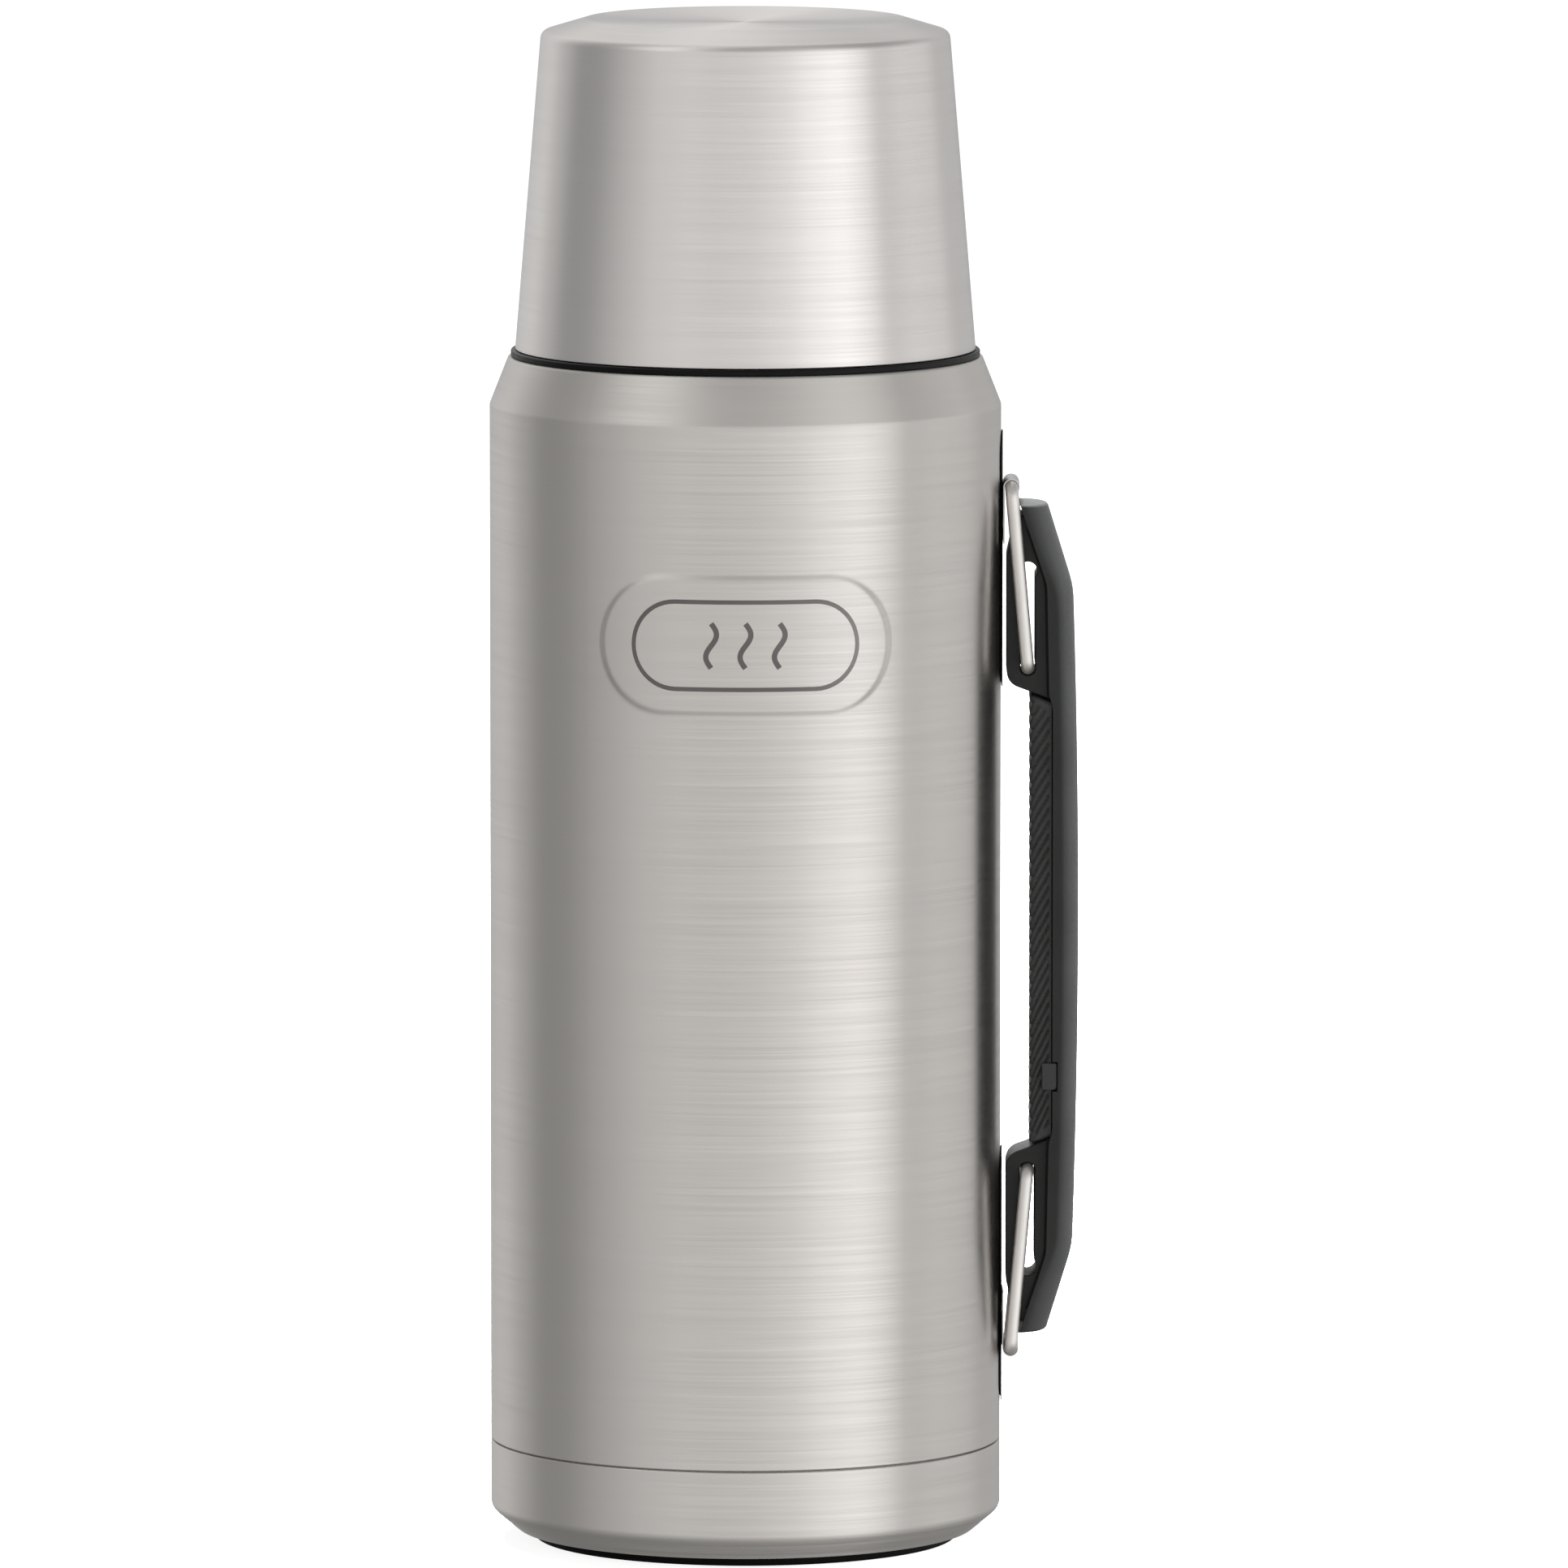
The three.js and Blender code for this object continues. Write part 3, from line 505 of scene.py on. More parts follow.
def brushed_steel(name, color, roughness, streaks, anisotropic=0.85):
    """Steel brushed round the flask's axis: streaks that are long round it and fine along it."""
    made = Surface(name, Metallic=1.0)
    parts = made.add("ShaderNodeSeparateXYZ", Vector=made.place)
    x, y, z = parts.outputs
    squares = [made.math("MULTIPLY", x, x), made.math("MULTIPLY", y, y)]
    radius = made.math("SQRT", made.math("ADD", *squares))
    along = made.math("ADD", made.math("MULTIPLY", z, 0.8), made.math("MULTIPLY", radius, 0.6))
    layers = []
    for around, fine in ((28, 4200), (14, 1300), (5, 260)):
        spot = made.add(
            "ShaderNodeCombineXYZ",
            X=made.math("MULTIPLY", x, float(around)),
            Y=made.math("MULTIPLY", y, float(around)),
            Z=made.math("MULTIPLY", along, float(fine)),
        )
        layers.append(made.noise(spot.outputs[0], 1.0))
    fine, middle, wide = layers
    hairs = made.math("ADD", made.math("MULTIPLY", fine, 0.6), made.math("MULTIPLY", middle, 0.4))
    marks = made.math("ADD", made.math("MULTIPLY", hairs, 0.8), made.math("MULTIPLY", wide, 0.2))
    tone = made.spread(marks, 0.0, 1.0)
    made.set(
        Base_Color=made.between(tone, scaled(color, 1 - streaks), scaled(color, 1 + streaks)),
        Roughness=made.spread(hairs, roughness - 0.06, roughness + 0.06),
        Anisotropic=anisotropic,
        Anisotropic_Rotation=0.25,
        Tangent=made.add(
            "ShaderNodeTangent", {"direction_type": "RADIAL", "axis": "Z"}
        ).outputs[0],
    )
    made.bump(hairs, 0.12, 0.02)
    return made.material


def plain_steel(name, color, roughness, grain=0.05):
    """Rolled or drawn sheet: a soft mottle and faint scuffs."""
    made = Surface(name, Metallic=1.0)
    mottle = made.noise(made.place, 180.0, 4.0, 0.6)
    grains = made.noise(made.place, 2600.0, 2.0)
    made.set(
        Base_Color=made.between(made.spread(mottle, 0.0, 1.0), scaled(color, 1 - grain), color),
        Roughness=made.spread(mottle, roughness - 0.04, roughness + 0.06),
    )
    made.bump(grains, 0.08, 0.02)
    return made.material


def moulded(name, color, roughness, grain=700.0, depth=0.03, strength=0.35, gloss=0.3):
    """Moulded plastic or rubber: a fine even texture, a little uneven in tone and gloss."""
    made = Surface(name)
    cloud = made.noise(made.place, 60.0, 3.0)
    speckle = made.noise(made.place, grain, 3.0, 0.65)
    share = made.spread(cloud, 0.0, 1.0)
    made.set(
        Base_Color=made.between(share, scaled(color, 0.88), scaled(color, 1.12)),
        Roughness=made.spread(speckle, roughness - 0.07, roughness + 0.07),
        Specular_IOR_Level=gloss,
    )
    made.bump(speckle, strength, depth)
    return made.material


def foamed(name, color):
    """Closed-cell foam: small round cells in the surface."""
    made = Surface(name, Roughness=0.85)
    cells = made.add("ShaderNodeTexVoronoi", Vector=made.place, Scale=900.0).outputs["Distance"]
    share = made.spread(cells, 0.0, 1.0, 0.1, 0.6)
    made.set(Base_Color=made.between(share, scaled(color, 0.8), color))
    made.bump(cells, 0.6, 0.2)
    return made.material


def clouded_rubber(name, color):
    """Milky silicone with some light inside."""
    made = Surface(name, Roughness=0.38)
    cloud = made.noise(made.place, 140.0, 3.0)
    made.set(
        Base_Color=made.between(made.spread(cloud, 0.0, 1.0), scaled(color, 0.93), color),
        Subsurface_Weight=0.25,
        Subsurface_Scale=0.002,
    )
    made.bump(made.noise(made.place, 1500.0), 0.1, 0.02)
    return made.material


body_steel = brushed_steel("body_steel", (0.70, 0.675, 0.65), 0.40, 0.03, 0.9)
cup_steel = brushed_steel("cup_steel", (0.79, 0.765, 0.755), 0.36, 0.027, 0.9)
inner_steel = brushed_steel("inner_steel", (0.66, 0.66, 0.655), 0.3, 0.03, 0.6)
sheet_steel = plain_steel("sheet_steel", (0.66, 0.655, 0.65), 0.3)
wire_steel = plain_steel("wire_steel", (0.78, 0.76, 0.74), 0.5, 0.03)
foil_copper = plain_steel("foil_copper", (0.80, 0.48, 0.33), 0.28, 0.12)
getter_metal = plain_steel("getter_metal", (0.30, 0.29, 0.28), 0.7, 0.3)
# Painted shade: the plastic's own black, made darker still to stand in for the shade on the
# collar's flange under the cup's rim. Every part in this plastic carries it.
black_plastic = moulded("black_plastic", (0.004, 0.004, 0.004), 0.40, 900.0, 0.015, gloss=0.1)
handle_plastic = moulded("handle_plastic", (0.0255, 0.026, 0.026), 0.42, 1100.0, 0.02, gloss=0.15)
frame_plastic = moulded("frame_plastic", (0.027, 0.027, 0.027), 0.42, 1100.0, 0.015, gloss=0.12)
grip_rubber = moulded("grip_rubber", (0.042, 0.043, 0.043), 0.6, 1300.0, 0.02, 0.4, 0.3)
# Painted shade: the rubber's own black, made darker still to stand in for the shade at the flask's
# foot. The bracket pads share it.
black_rubber = moulded("black_rubber", (0.002, 0.002, 0.002), 0.6, 800.0, 0.03, gloss=0.06)
print_ink = moulded("print_ink", (0.13, 0.125, 0.12), 0.5, 900.0, 0.01)
foam_white = foamed("foam_white", (0.82, 0.80, 0.74))
silicone = clouded_rubber("silicone", (0.72, 0.72, 0.70))


# ---- Screw threads ----


def thread(spec, z0, turn, first=0.0, fade=0.12):
    """How far a thread stands out of its wall at a height and an angle, from 0 to depth."""
    starts, lead, depth = spec["starts"], spec["lead"], spec["depth"]
    foot, top = spec["root"] / 2, spec["crest"] / 2
    turn, first = math.radians(turn), math.radians(first)

    def height(z, a):
        most = 0.0
        for k in range(starts):
            along = (a - first - TURN * k / starts) % TURN
            if along > turn:
                continue
            off = abs(z - z0 - lead * along / TURN)
            if off > foot:
                continue
            share = min(along, turn - along) / (turn * fade)
            rise = min(1.0, (foot - off) / (foot - top)) * min(1.0, share)
            most = max(most, rise)
        return depth * smooth_step(0, 1, most)

    return height


# ---- The bottle ----


def panel_distance(across, up, length, height):
    """Distance from the outline of a bar with round ends, and less than zero inside it."""
    reach = max(abs(across) - (length - height) / 2, 0)
    return math.hypot(reach, up) - height / 2


def around_front(x):
    """The angle of the body's surface at a distance x from its front middle, measured round it."""
    return x / BODY_R - math.pi / 2


def outer_shell():
    inner = BODY_R - SHEET
    window = PANEL_LENGTH / 2 + 3 * PANEL_EDGE
    fine = 0.45

    def relief(r, z, a):
        across = (a + math.pi / 2) * BODY_R
        if abs(across) > window or abs(r - BODY_R) > 2 * SHEET or z < PANEL_Z - PANEL_HEIGHT:
            return 0
        away = panel_distance(across, z - PANEL_Z, PANEL_LENGTH, PANEL_HEIGHT)
        return PANEL_RISE * (1 - smooth_step(-PANEL_EDGE / 2, PANEL_EDGE / 2, away))

    count = math.ceil(2 * window / fine)
    angles = [around_front(-window + 2 * window * k / count) for k in range(count + 1)]
    rest = TURN - 2 * window / BODY_R
    coarse = round(FULL * rest / TURN)
    angles += [angles[count] + rest * k / coarse for k in range(1, coarse)]

    def rows(r, low, high, step):
        count = math.ceil((high - low) / step)
        return [(r, low + (high - low) * k / count) for k in range(count + 1)]

    low, high = PANEL_Z - PANEL_HEIGHT / 2 - 2, PANEL_Z + PANEL_HEIGHT / 2 + 2
    turned_piece("outer_shell", "brushed", body_steel, [
        (SKIRT_R - SHEET, SHELL.z0),
        (SKIRT_R, SHELL.z0),
        (SKIRT_R, SEAM_Z - 0.1, 0.1),
        (BODY_R, SEAM_Z + SEAM_GAP / 2, 0.25),
        *rows(BODY_R, low, high, fine),
        (BODY_R, BODY_TOP_Z, 2),
        (SHOULDER_R, SHOULDER_Z, 0.8),
        (NECK_R, SHOULDER_Z),
        (NECK_R, SHELL.z1),
        (NECK_R - SHEET, SHELL.z1),
        (NECK_R - SHEET, SHOULDER_Z - SHEET),
        (SHOULDER_R - SHEET, SHOULDER_Z - SHEET),
        (inner, BODY_TOP_Z - SHEET / 3, 3),
        *reversed(rows(inner, low, high, fine)),
        (inner, SEAM_Z + 1),
        (SKIRT_R - SHEET, SEAM_Z),
    ], pieces=6, relief=relief, angles=angles)


def surface_ribbon(name, path, half, closed):
    """A flat printed line along (across, up) points on the front panel, with its own thin depth."""
    sunk, proud = 0.12, 0.03
    reach = BODY_R + PANEL_RISE
    face, foot = reach + proud, reach - sunk
    points, faces = [], []
    count = len(path)
    for i, (u, v) in enumerate(path):
        before = path[i - 1] if closed or i else path[i]
        after = path[(i + 1) % count] if closed or i < count - 1 else path[i]
        du, dv = after[0] - before[0], after[1] - before[1]
        size = math.hypot(du, dv)
        nu, nv = -dv / size * half, du / size * half
        for side, r in ((1, face), (-1, face), (-1, foot), (1, foot)):
            a = around_front(u + nu * side)
            points.append((r * math.cos(a), r * math.sin(a), PANEL_Z + v + nv * side))
    last = count if closed else count - 1
    for i in range(last):
        here, there = 4 * i, 4 * ((i + 1) % count)
        for j in range(4):
            k = (j + 1) % 4
            faces.append((here + j, here + k, there + k, there + j))
    if not closed:
        faces.append((0, 1, 2, 3))
        faces.append(tuple(4 * (count - 1) + j for j in range(4)))
    return tidy(mesh_object(name, points, faces))


def panel_print():
    """A generic mark: a plain bar-shaped frame with three rising wisps."""
    length, height, line = 47, 18, 0.45
    end, half = height / 2, (length - height) / 2
    frame_line = []
    for side in (1, -1):
        for k in range(25):
            a = math.pi * (k / 24 - 0.5)
            frame_line.append((side * (half + end * math.cos(a)), side * end * math.sin(a)))
    lines = [surface_ribbon("frame", stretched(frame_line, True, 1), line, True)]
    wisp, sway, apart = 4.6, 1.1, 7
    for middle in (-apart, 0, apart):
        path = []
        for k in range(33):
            v = wisp * (k / 16 - 1)
            path.append((middle + sway * math.sin(math.pi * v / wisp), v))
        lines.append(surface_ribbon("wisp", path, 0.55, False))
    made = lines[0]
    work = bmesh.new()
    for line in lines:
        work.from_mesh(line.data)
    for line in lines[1:]:
        bpy.data.objects.remove(line)
    work.to_mesh(made.data)
    work.free()
    made.name = "outer_shell_print"
    made.data.shade_flat()
    made.data.materials.append(print_ink)
    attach(made, "bottle")


def base_cup():
    inner = BODY_R - SHEET
    recess = PAD.radius + 0.3
    floor = BASE.z0 + BASE_RECESS
    top = SEAM_Z - SEAM_GAP / 2
    turned_piece("base_cup", "brushed", body_steel, [
        (0, floor),
        (recess, floor, 0.3),
        (recess, BASE.z0, 0.3),
        (CHAMFER_R, BASE.z0, 1.5),
        (BODY_R, CHAMFER_Z, 2.5),
        (BODY_R, top, 0.25),
        (inner, top),
        (inner, CHAMFER_Z + SHEET / 2),
        (CHAMFER_R - SHEET / 2, BASE.z0 + SHEET),
        (recess + SHEET, BASE.z0 + SHEET),
        (recess + SHEET, floor + SHEET),
        (0, floor + SHEET),
    ])


def base_pad():
    inner, outer, depth = 34, 37, 0.7
    # The foot's near-black rubber carries painted shade for the shade at the flask's foot.
    turned_piece("base_pad", "rubber", black_rubber, [
        (0, 0),
        (inner, 0, 0.3),
        (inner, depth, 0.3),
        (outer, depth, 0.3),
        (outer, 0, 0.3),
        (PAD.radius, 0, 0.8),
        (PAD.radius, PAD.z1),
        (0, PAD.z1),
    ])


def outer_base_disc():
    rim = DISC.radius
    bore = 2.9
    turned_piece("outer_base_disc", "steel", inner_steel, [
        (bore, DISC.z0),
        (rim, DISC.z0, 0.3),
        (rim, DISC.z1),
        (rim - SHEET, DISC.z1),
        (rim - SHEET, DISC.z0 + SHEET),
        (bore, DISC.z0 + SHEET),
    ])


def vacuum_seal_plug():
    stem, shoulder = 2.6, SHELL.z0 - 0.1
    turned_piece("vacuum_seal_plug", "steel", sheet_steel, [
        (0, PLUG.z0),
        (PLUG.radius, PLUG.z0, 0.5),
        (PLUG.radius, shoulder),
        (stem, shoulder),
        (stem, PLUG.z1),
        (0, PLUG.z1),
    ], count=ROUND)


def inner_vessel():
    inner = VESSEL.radius - SHEET
    under = VESSEL.z1 - SHEET
    seat_top = SEAT_Z + MOUTH_R - SEAT_R
    throat = SEAT_Z - 3.5
    ridge = thread(STOPPER_THREAD, STOPPER_THREAD_Z, 285)

    def relief(r, z, a):
        return -ridge(z, a) if abs(r - MOUTH_R) < SHEET / 2 else 0

    turned_piece("inner_vessel", "steel", inner_steel, [
        (inner, VESSEL.z0),
        (VESSEL.radius, VESSEL.z0),
        (VESSEL.radius, LINER_SHOULDER_Z, 10),
        (SEAT_R + SHEET, throat, 3),
        (SEAT_R + SHEET, SEAT_Z - SHEET / 2),
        (MOUTH_R + SHEET, seat_top - SHEET / 2),
        (MOUTH_R + SHEET, under),
        (NECK_R, under),
        (NECK_R, VESSEL.z1, 0.2),
        (MOUTH_R, VESSEL.z1, 0.3),
        *[(MOUTH_R, VESSEL.z1 - 1 - 0.3 * k) for k in range(1, 58)],
        (MOUTH_R, seat_top),
        (SEAT_R, SEAT_Z, 0.5),
        (SEAT_R, throat - SHEET / 2, 3),
        (inner, LINER_SHOULDER_Z - SHEET / 2, 10),
    ], relief=relief)


def inner_vessel_base():
    radius, bottom = VESSEL_BASE.radius, VESSEL_BASE.z0
    turned_piece("inner_vessel_base", "steel", inner_steel, [
        (0, bottom),
        (radius, bottom, 6),
        (radius, VESSEL_BASE.z1),
        (radius - SHEET, VESSEL_BASE.z1),
        (radius - SHEET, bottom + SHEET, 6 - SHEET),
        (0, bottom + SHEET),
    ])


def radiation_foil():
    """Thin foil round the inner vessel, wrinkled a little where it was wrapped."""
    inner = FOIL.radius - 0.3

    def relief(r, z, a):
        fold = math.sin(7 * a + z / 9) * math.sin(z / 23 + 2 * a) + 0.5 * math.sin(19 * a - z / 5)
        return 0.05 * fold

    turned_piece("radiation_foil", "copper", foil_copper, [
        (inner, FOIL.z0),
        (FOIL.radius, FOIL.z0),
        (FOIL.radius, FOIL.z1),
        (inner, FOIL.z1),
    ], relief=relief, step=4)


def getter():
    x = (GETTER.x0 + GETTER.x1) / 2
    made = turned_bar("getter_pellet", GETTER.radius, (x, 0, GETTER.z0), (x, 0, GETTER.z1))
    finished(soften(made, 0.3), "getter", getter_metal)


def neck_collar():
    """The sleeve that carries the cup's thread, over the steel neck."""
    foot = COLLAR.z0
    flange_top = foot + 1.25
    wall = 1.8
    bore = NECK_R + 0.3
    top = 262.8
    ridge = thread(CUP_THREAD, CUP_THREAD_Z, 195)

    def relief(r, z, a):
        return ridge(z, a) if abs(r - COLLAR_R) < 0.1 else 0

    # The flange's near-black plastic carries painted shade for the shade under the cup's rim.
    turned_piece("neck_collar", "plastic", black_plastic, [
        (bore, foot),
        (bore + wall, foot),
        (bore + wall, top - wall),
        (COLLAR_R - wall, top - wall),
        (COLLAR_R - wall, foot),
        (COLLAR.radius, foot, 0.3),
        (COLLAR.radius, flange_top, 0.3),
        (COLLAR_R, flange_top),
        *[(COLLAR_R, flange_top + 0.25 * k) for k in range(1, 52)],
        (COLLAR_R, top, 0.7),
        (bore, top, 0.4),
    ], count=256, relief=relief)


# ---- The stopper ----


def stopper_body():
    inner = STOPPER_R - 1.8
    under = 266.4
    ridge = thread(STOPPER_THREAD, STOPPER_THREAD_Z + 2.25, 285)

    def relief(r, z, a):
        return ridge(z, a) if abs(r - STOPPER_R) < 0.1 and z < under else 0

    rows = [(STOPPER_R, STOPPER.z0 + 0.6 + 0.25 * k) for k in range(72)]
    turned_piece("stopper_body", "plastic", black_plastic, [
        (0, under),
        (inner, under),
        (inner, STOPPER.z0),
        (STOPPER_R, STOPPER.z0, 0.4),
        *rows,
        (STOPPER_R, under),
        (STOPPER.radius, under, 0.3),
        (STOPPER.radius, STOPPER.z1, 0.3),
        (0, STOPPER.z1),
    ], count=256, relief=relief)


def stopper_cap():
    """The knob that is turned: soft ribs round its side and a shallow dish in its top."""
    wall, radius, top_radius = 1.5, 35.2, 34
    low, high = KNOB.z0, KNOB.z1
    rib_low, rib_high, rib_depth = low + 1.5, high - 3.5, 0.8

    def relief(r, z, a):
        if r < top_radius - 0.6 or not rib_low < z < rib_high:
            return 0
        swing = math.cos(KNOB_RIBS * a)
        ends = min(1, (z - rib_low) / 1.2, (rib_high - z) / 1.2)
        return rib_depth * smooth_step(0.45, 0.85, swing) * smooth_step(0, 1, ends)

    turned_piece("stopper_cap", "plastic", black_plastic, [
        (0, high - wall - 0.4),
        (top_radius - wall, high - wall - 0.4, 1),
        (radius - wall, low + 1.7),
        (radius - wall, low),
        (radius, low, 0.4),
        *[
            (radius - (radius - top_radius) * k / 40, low + (high - low) * k / 40)
            for k in range(2, 36)
        ],
        (top_radius, high, 2.2),
        (26, high, 1.5),
        (24.5, high - 0.4, 1.5),
        (0, high - 0.4),
    ], count=320, relief=relief)


def stopper_foam():
    turned_piece("stopper_foam", "block", foam_white, [
        (0, FOAM.z0),
        (FOAM.radius, FOAM.z0, 0.8),
        (FOAM.radius, FOAM.z1, 0.8),
        (0, FOAM.z1),
    ], count=96)


def stopper_base():
    stem = STOPPER_R - 1.8 - 0.4
    lip = STOPPER_BASE.z0 + 0.7
    turned_piece("stopper_base", "plastic", black_plastic, [
        (0, STOPPER_BASE.z0),
        (STOPPER_BASE.radius, STOPPER_BASE.z0, 0.3),
        (STOPPER_BASE.radius, lip),
        (stem, lip),
        (stem, STOPPER_BASE.z1),
        (0, STOPPER_BASE.z1),
    ], count=128)


def stopper_lower_seal():
    inner = STOPPER_R - 1.8 - 0.2
    low, high = LOWER_SEAL.z0, LOWER_SEAL.z1
    turned_piece("stopper_lower_seal", "ring", silicone, [
        (inner, low),
        (LOWER_SEAL.radius - 0.6, low, 0.4),
        (LOWER_SEAL.radius, (low + high) / 2, 0.6),
        (LOWER_SEAL.radius - 0.3, high, 0.3),
        (inner, high),
    ], count=128)


def stopper_upper_seal():
    low, high = UPPER_SEAL.z0, UPPER_SEAL.z1
    inner = MOUTH_R + 0.6
    turned_piece("stopper_upper_seal", "ring", silicone, [
        (inner, low, 0.3),
        (UPPER_SEAL.radius, low, 0.3),
        (UPPER_SEAL.radius, high, 0.3),
        (inner, high, 0.3),
    ], count=128)


# ---- The cup ----


def cup_radius(z):
    share = (z - CUP.z0) / (CUP_CORNER_Z - CUP.z0)
    return CUP.radius + (CUP_CORNER_R - CUP.radius) * share


def cup_shell():
    foot_inner = CUP_FOOT_R - 1.4
    floor = CUP.z1 - CUP_FOOT_DEPTH
    turned_piece("cup_shell", "brushed", cup_steel, [
        (0, floor - CUP_SHEET),
        (foot_inner + CUP_SHEET, floor - CUP_SHEET),
        (CUP_FOOT_R - CUP_SHEET / 2, CUP.z1 - CUP_SHEET),
        (CUP_CORNER_R - CUP_SHEET, CUP_CORNER_Z - CUP_SHEET / 2, 1),
        (CUP.radius - CUP_SHEET, CUP.z0),
        (CUP.radius, CUP.z0, 0.2),
        (CUP_CORNER_R, CUP_CORNER_Z, 1.8),
        (CUP_FOOT_R, CUP.z1, 0.8),
        (foot_inner, CUP.z1 - 0.25, 1),
        (22, floor + 0.1, 6),
        (0, floor),
    ], count=256, pieces=6)


def cup_liner():
    back = CUP_SHEET + 2.2
    low, ceiling = LINER.z0, LINER.z1 - SHEET
    turned_piece("cup_liner", "steel", inner_steel, [
        (0, ceiling),
        (cup_radius(ceiling) - back - SHEET, ceiling, 4),
        (cup_radius(low) - back - SHEET, low),
        (cup_radius(low) - back, low),
        (cup_radius(LINER.z1) - back, LINER.z1, 4 + SHEET),
        (0, LINER.z1),
    ])


def cup_thread_ring():
    back = CUP_SHEET + 0.25
    first = 20
    ridge = thread(CUP_THREAD, CUP_THREAD_Z + 2.5 + CUP_THREAD["lead"] * first / 360, 105, first)

    def relief(r, z, a):
        return -ridge(z, a) if abs(r - RING_R) < 0.1 else 0

    low, high = RING.z0, RING.z1
    rows = [(RING_R, high - 0.25 * k) for k in range(2, 56)]
    turned_piece("cup_thread_ring", "plastic", black_plastic, [
        (RING_R, low, 0.3),
        (cup_radius(low) - back, low, 0.3),
        (cup_radius(high) - back, high, 0.3),
        (RING_R, high, 0.3),
        *rows,
    ], count=256, relief=relief)


# ---- The handle, in heights above its middle ----


def raised(points):
    """Points of (x, y, height above the handle's middle), moved up to the handle."""
    return [(x, y, z + HANDLE_Z) for x, y, z in points]


def bracket_pad():
    """A thin rubber strip with round ends that follows the bottle's wall."""
    inner, outer = BODY_R + 0.1, BODY_R + 0.35
    low, high, end = 48, 101.5, STRIP.y1
    edge = 0.1
    stations = [end * (1 - math.cos(math.pi * k / 24)) for k in range(1, 13)]
    heights = [low + s for s in stations] + [high - s for s in reversed(stations)]
    rings = []
    for h in heights:
        near = min(h - low, high - h, end)
        half = math.sqrt(max(end * end - (end - near) ** 2, 0.01))
        spread = half / inner
        ring = []
        for k in range(17):
            a = spread * (k / 8 - 1)
            drop = edge * max(0, 1 - (1 - abs(k / 8 - 1)) * half / edge / 2)
            ring.append(((outer - drop) * math.cos(a), (outer - drop) * math.sin(a), h))
        for k in range(16, -1, -1):
            a = spread * (k / 8 - 1)
            ring.append((inner * math.cos(a), inner * math.sin(a), h))
        rings.append(raised(ring))
    made = loft("upper_bracket_pad_rubber", rings)
    boss_z = HANDLE_Z + BOSS_H
    tool = turned_bar("boss_hole", 2.5, (inner - 2, 0, boss_z), (outer + 2, 0, boss_z))
    return combine(made, "DIFFERENCE", tool)


def bracket():
    """A sheet leaf on the pad, rolled at its end into an eye round the bail's crossbar."""
    sheet, eye = 0.3, 1.42
    outer = eye + sheet
    leaf_h = 78.2
    roll, pieces = 1.5 * math.pi, 44
    outline = [
        (PIVOT_X - outer, leaf_h),
        *arc(PIVOT_X, PIVOT_H, outer, math.pi, -roll, pieces),
        *arc(PIVOT_X, PIVOT_H, eye, -math.pi / 2, roll, pieces),
        (PIVOT_X - eye, leaf_h),
    ]
    outline = [(x, z + HANDLE_Z) for x, z in outline]
    made = soften(plate("upper_bracket_steel", outline, BRACKET.y1), 0.1, 2, 50)
    boss_z = HANDLE_Z + BOSS_H
    start = (BODY_R + 0.1, 0, boss_z)
    end = (PIVOT_X - eye - sheet / 2, 0, boss_z)
    return combine(made, "UNION", turned_bar("boss", 2.2, start, end))


def bail():
    """A rectangular loop of round wire, whose ends meet in the bracket's eye."""
    bend, butt = 2.2, 0.25
    path = bent_path(
        [
            ((PIVOT_X, butt, PIVOT_H), 0),
            ((PIVOT_X, ARM_Y, PIVOT_H), bend),
            ((PIN_X, ARM_Y, PIN_H), bend),
            ((PIN_X, -ARM_Y, PIN_H), bend),
            ((PIVOT_X, -ARM_Y, PIVOT_H), bend),
            ((PIVOT_X, -butt, PIVOT_H), 0),
        ]
    )
    return sweep("upper_bail_wire", raised(path), WIRE_R)


def suspension():
    """Pad, bracket and bail of the handle's upper end, then the same pieces upside down."""
    makers = (
        ("bracket_pad", bracket_pad, black_rubber),
        ("bracket", bracket, sheet_steel),
        ("bail", bail, wire_steel),
    )
    for name, maker, material in makers:
        finished(maker(), "upper_" + name, material)
        lower = flipped(maker())
        lower.name = lower.name.replace("upper", "lower").split(".")[0]
        finished(lower, "lower_" + name, material)


def cover_back(h):
    """How far the cover's back reaches at a height."""
    h = abs(h)
    middle, bend, tip_start, drop = COVER.x1, 68, 69, 5.4
    bow = bend + (middle - bend) * (1 - (h / tip_start) ** 2)
    tip = bend - (h - tip_start) * drop / (HANDLE_H - tip_start)
    return smooth_least(bow, tip, 0.7)


def cover_room(h):
    """How far the hollow inside the cover reaches at a height."""
    wall, more = 2.4, smooth_step(62, 78, abs(h))
    return cover_back(h) - wall - more


def cover_edge(h):
    """Where the cover's side walls stop at a height."""
    h = abs(h)
    grip_end, plate_end, tip_start = 44, 47.2, 69.8
    side = 63.7 - 0.7 * smooth_step(grip_end, plate_end, h) - 0.02 * max(h - grip_end, 0)
    tip = 62.5 - 0.336 * (h - tip_start)
    return smooth_least(side, tip, 0.3)


def cover_ring(h, inset):
    """The cover's outline at a height, as a solid bar with flat sides and an elliptical back."""
    depth, half = 3.7 + 1.6 * smooth_step(64, 80, abs(h)), COVER_HALF - inset
    back = cover_back(h) - inset
    edge = cover_edge(h)
    shoulder = back - depth
    quarter = [(edge + (shoulder - edge) * k / 4, half) for k in range(4)]
    for k in range(19):
        a = math.pi / 2 * k / 18
        quarter.append((shoulder + depth * math.sin(a), half * math.cos(a)))
    other = [(x, -y) for x, y in reversed(quarter[:-1])]
    return [(x, y, h + HANDLE_Z) for x, y in quarter + other]


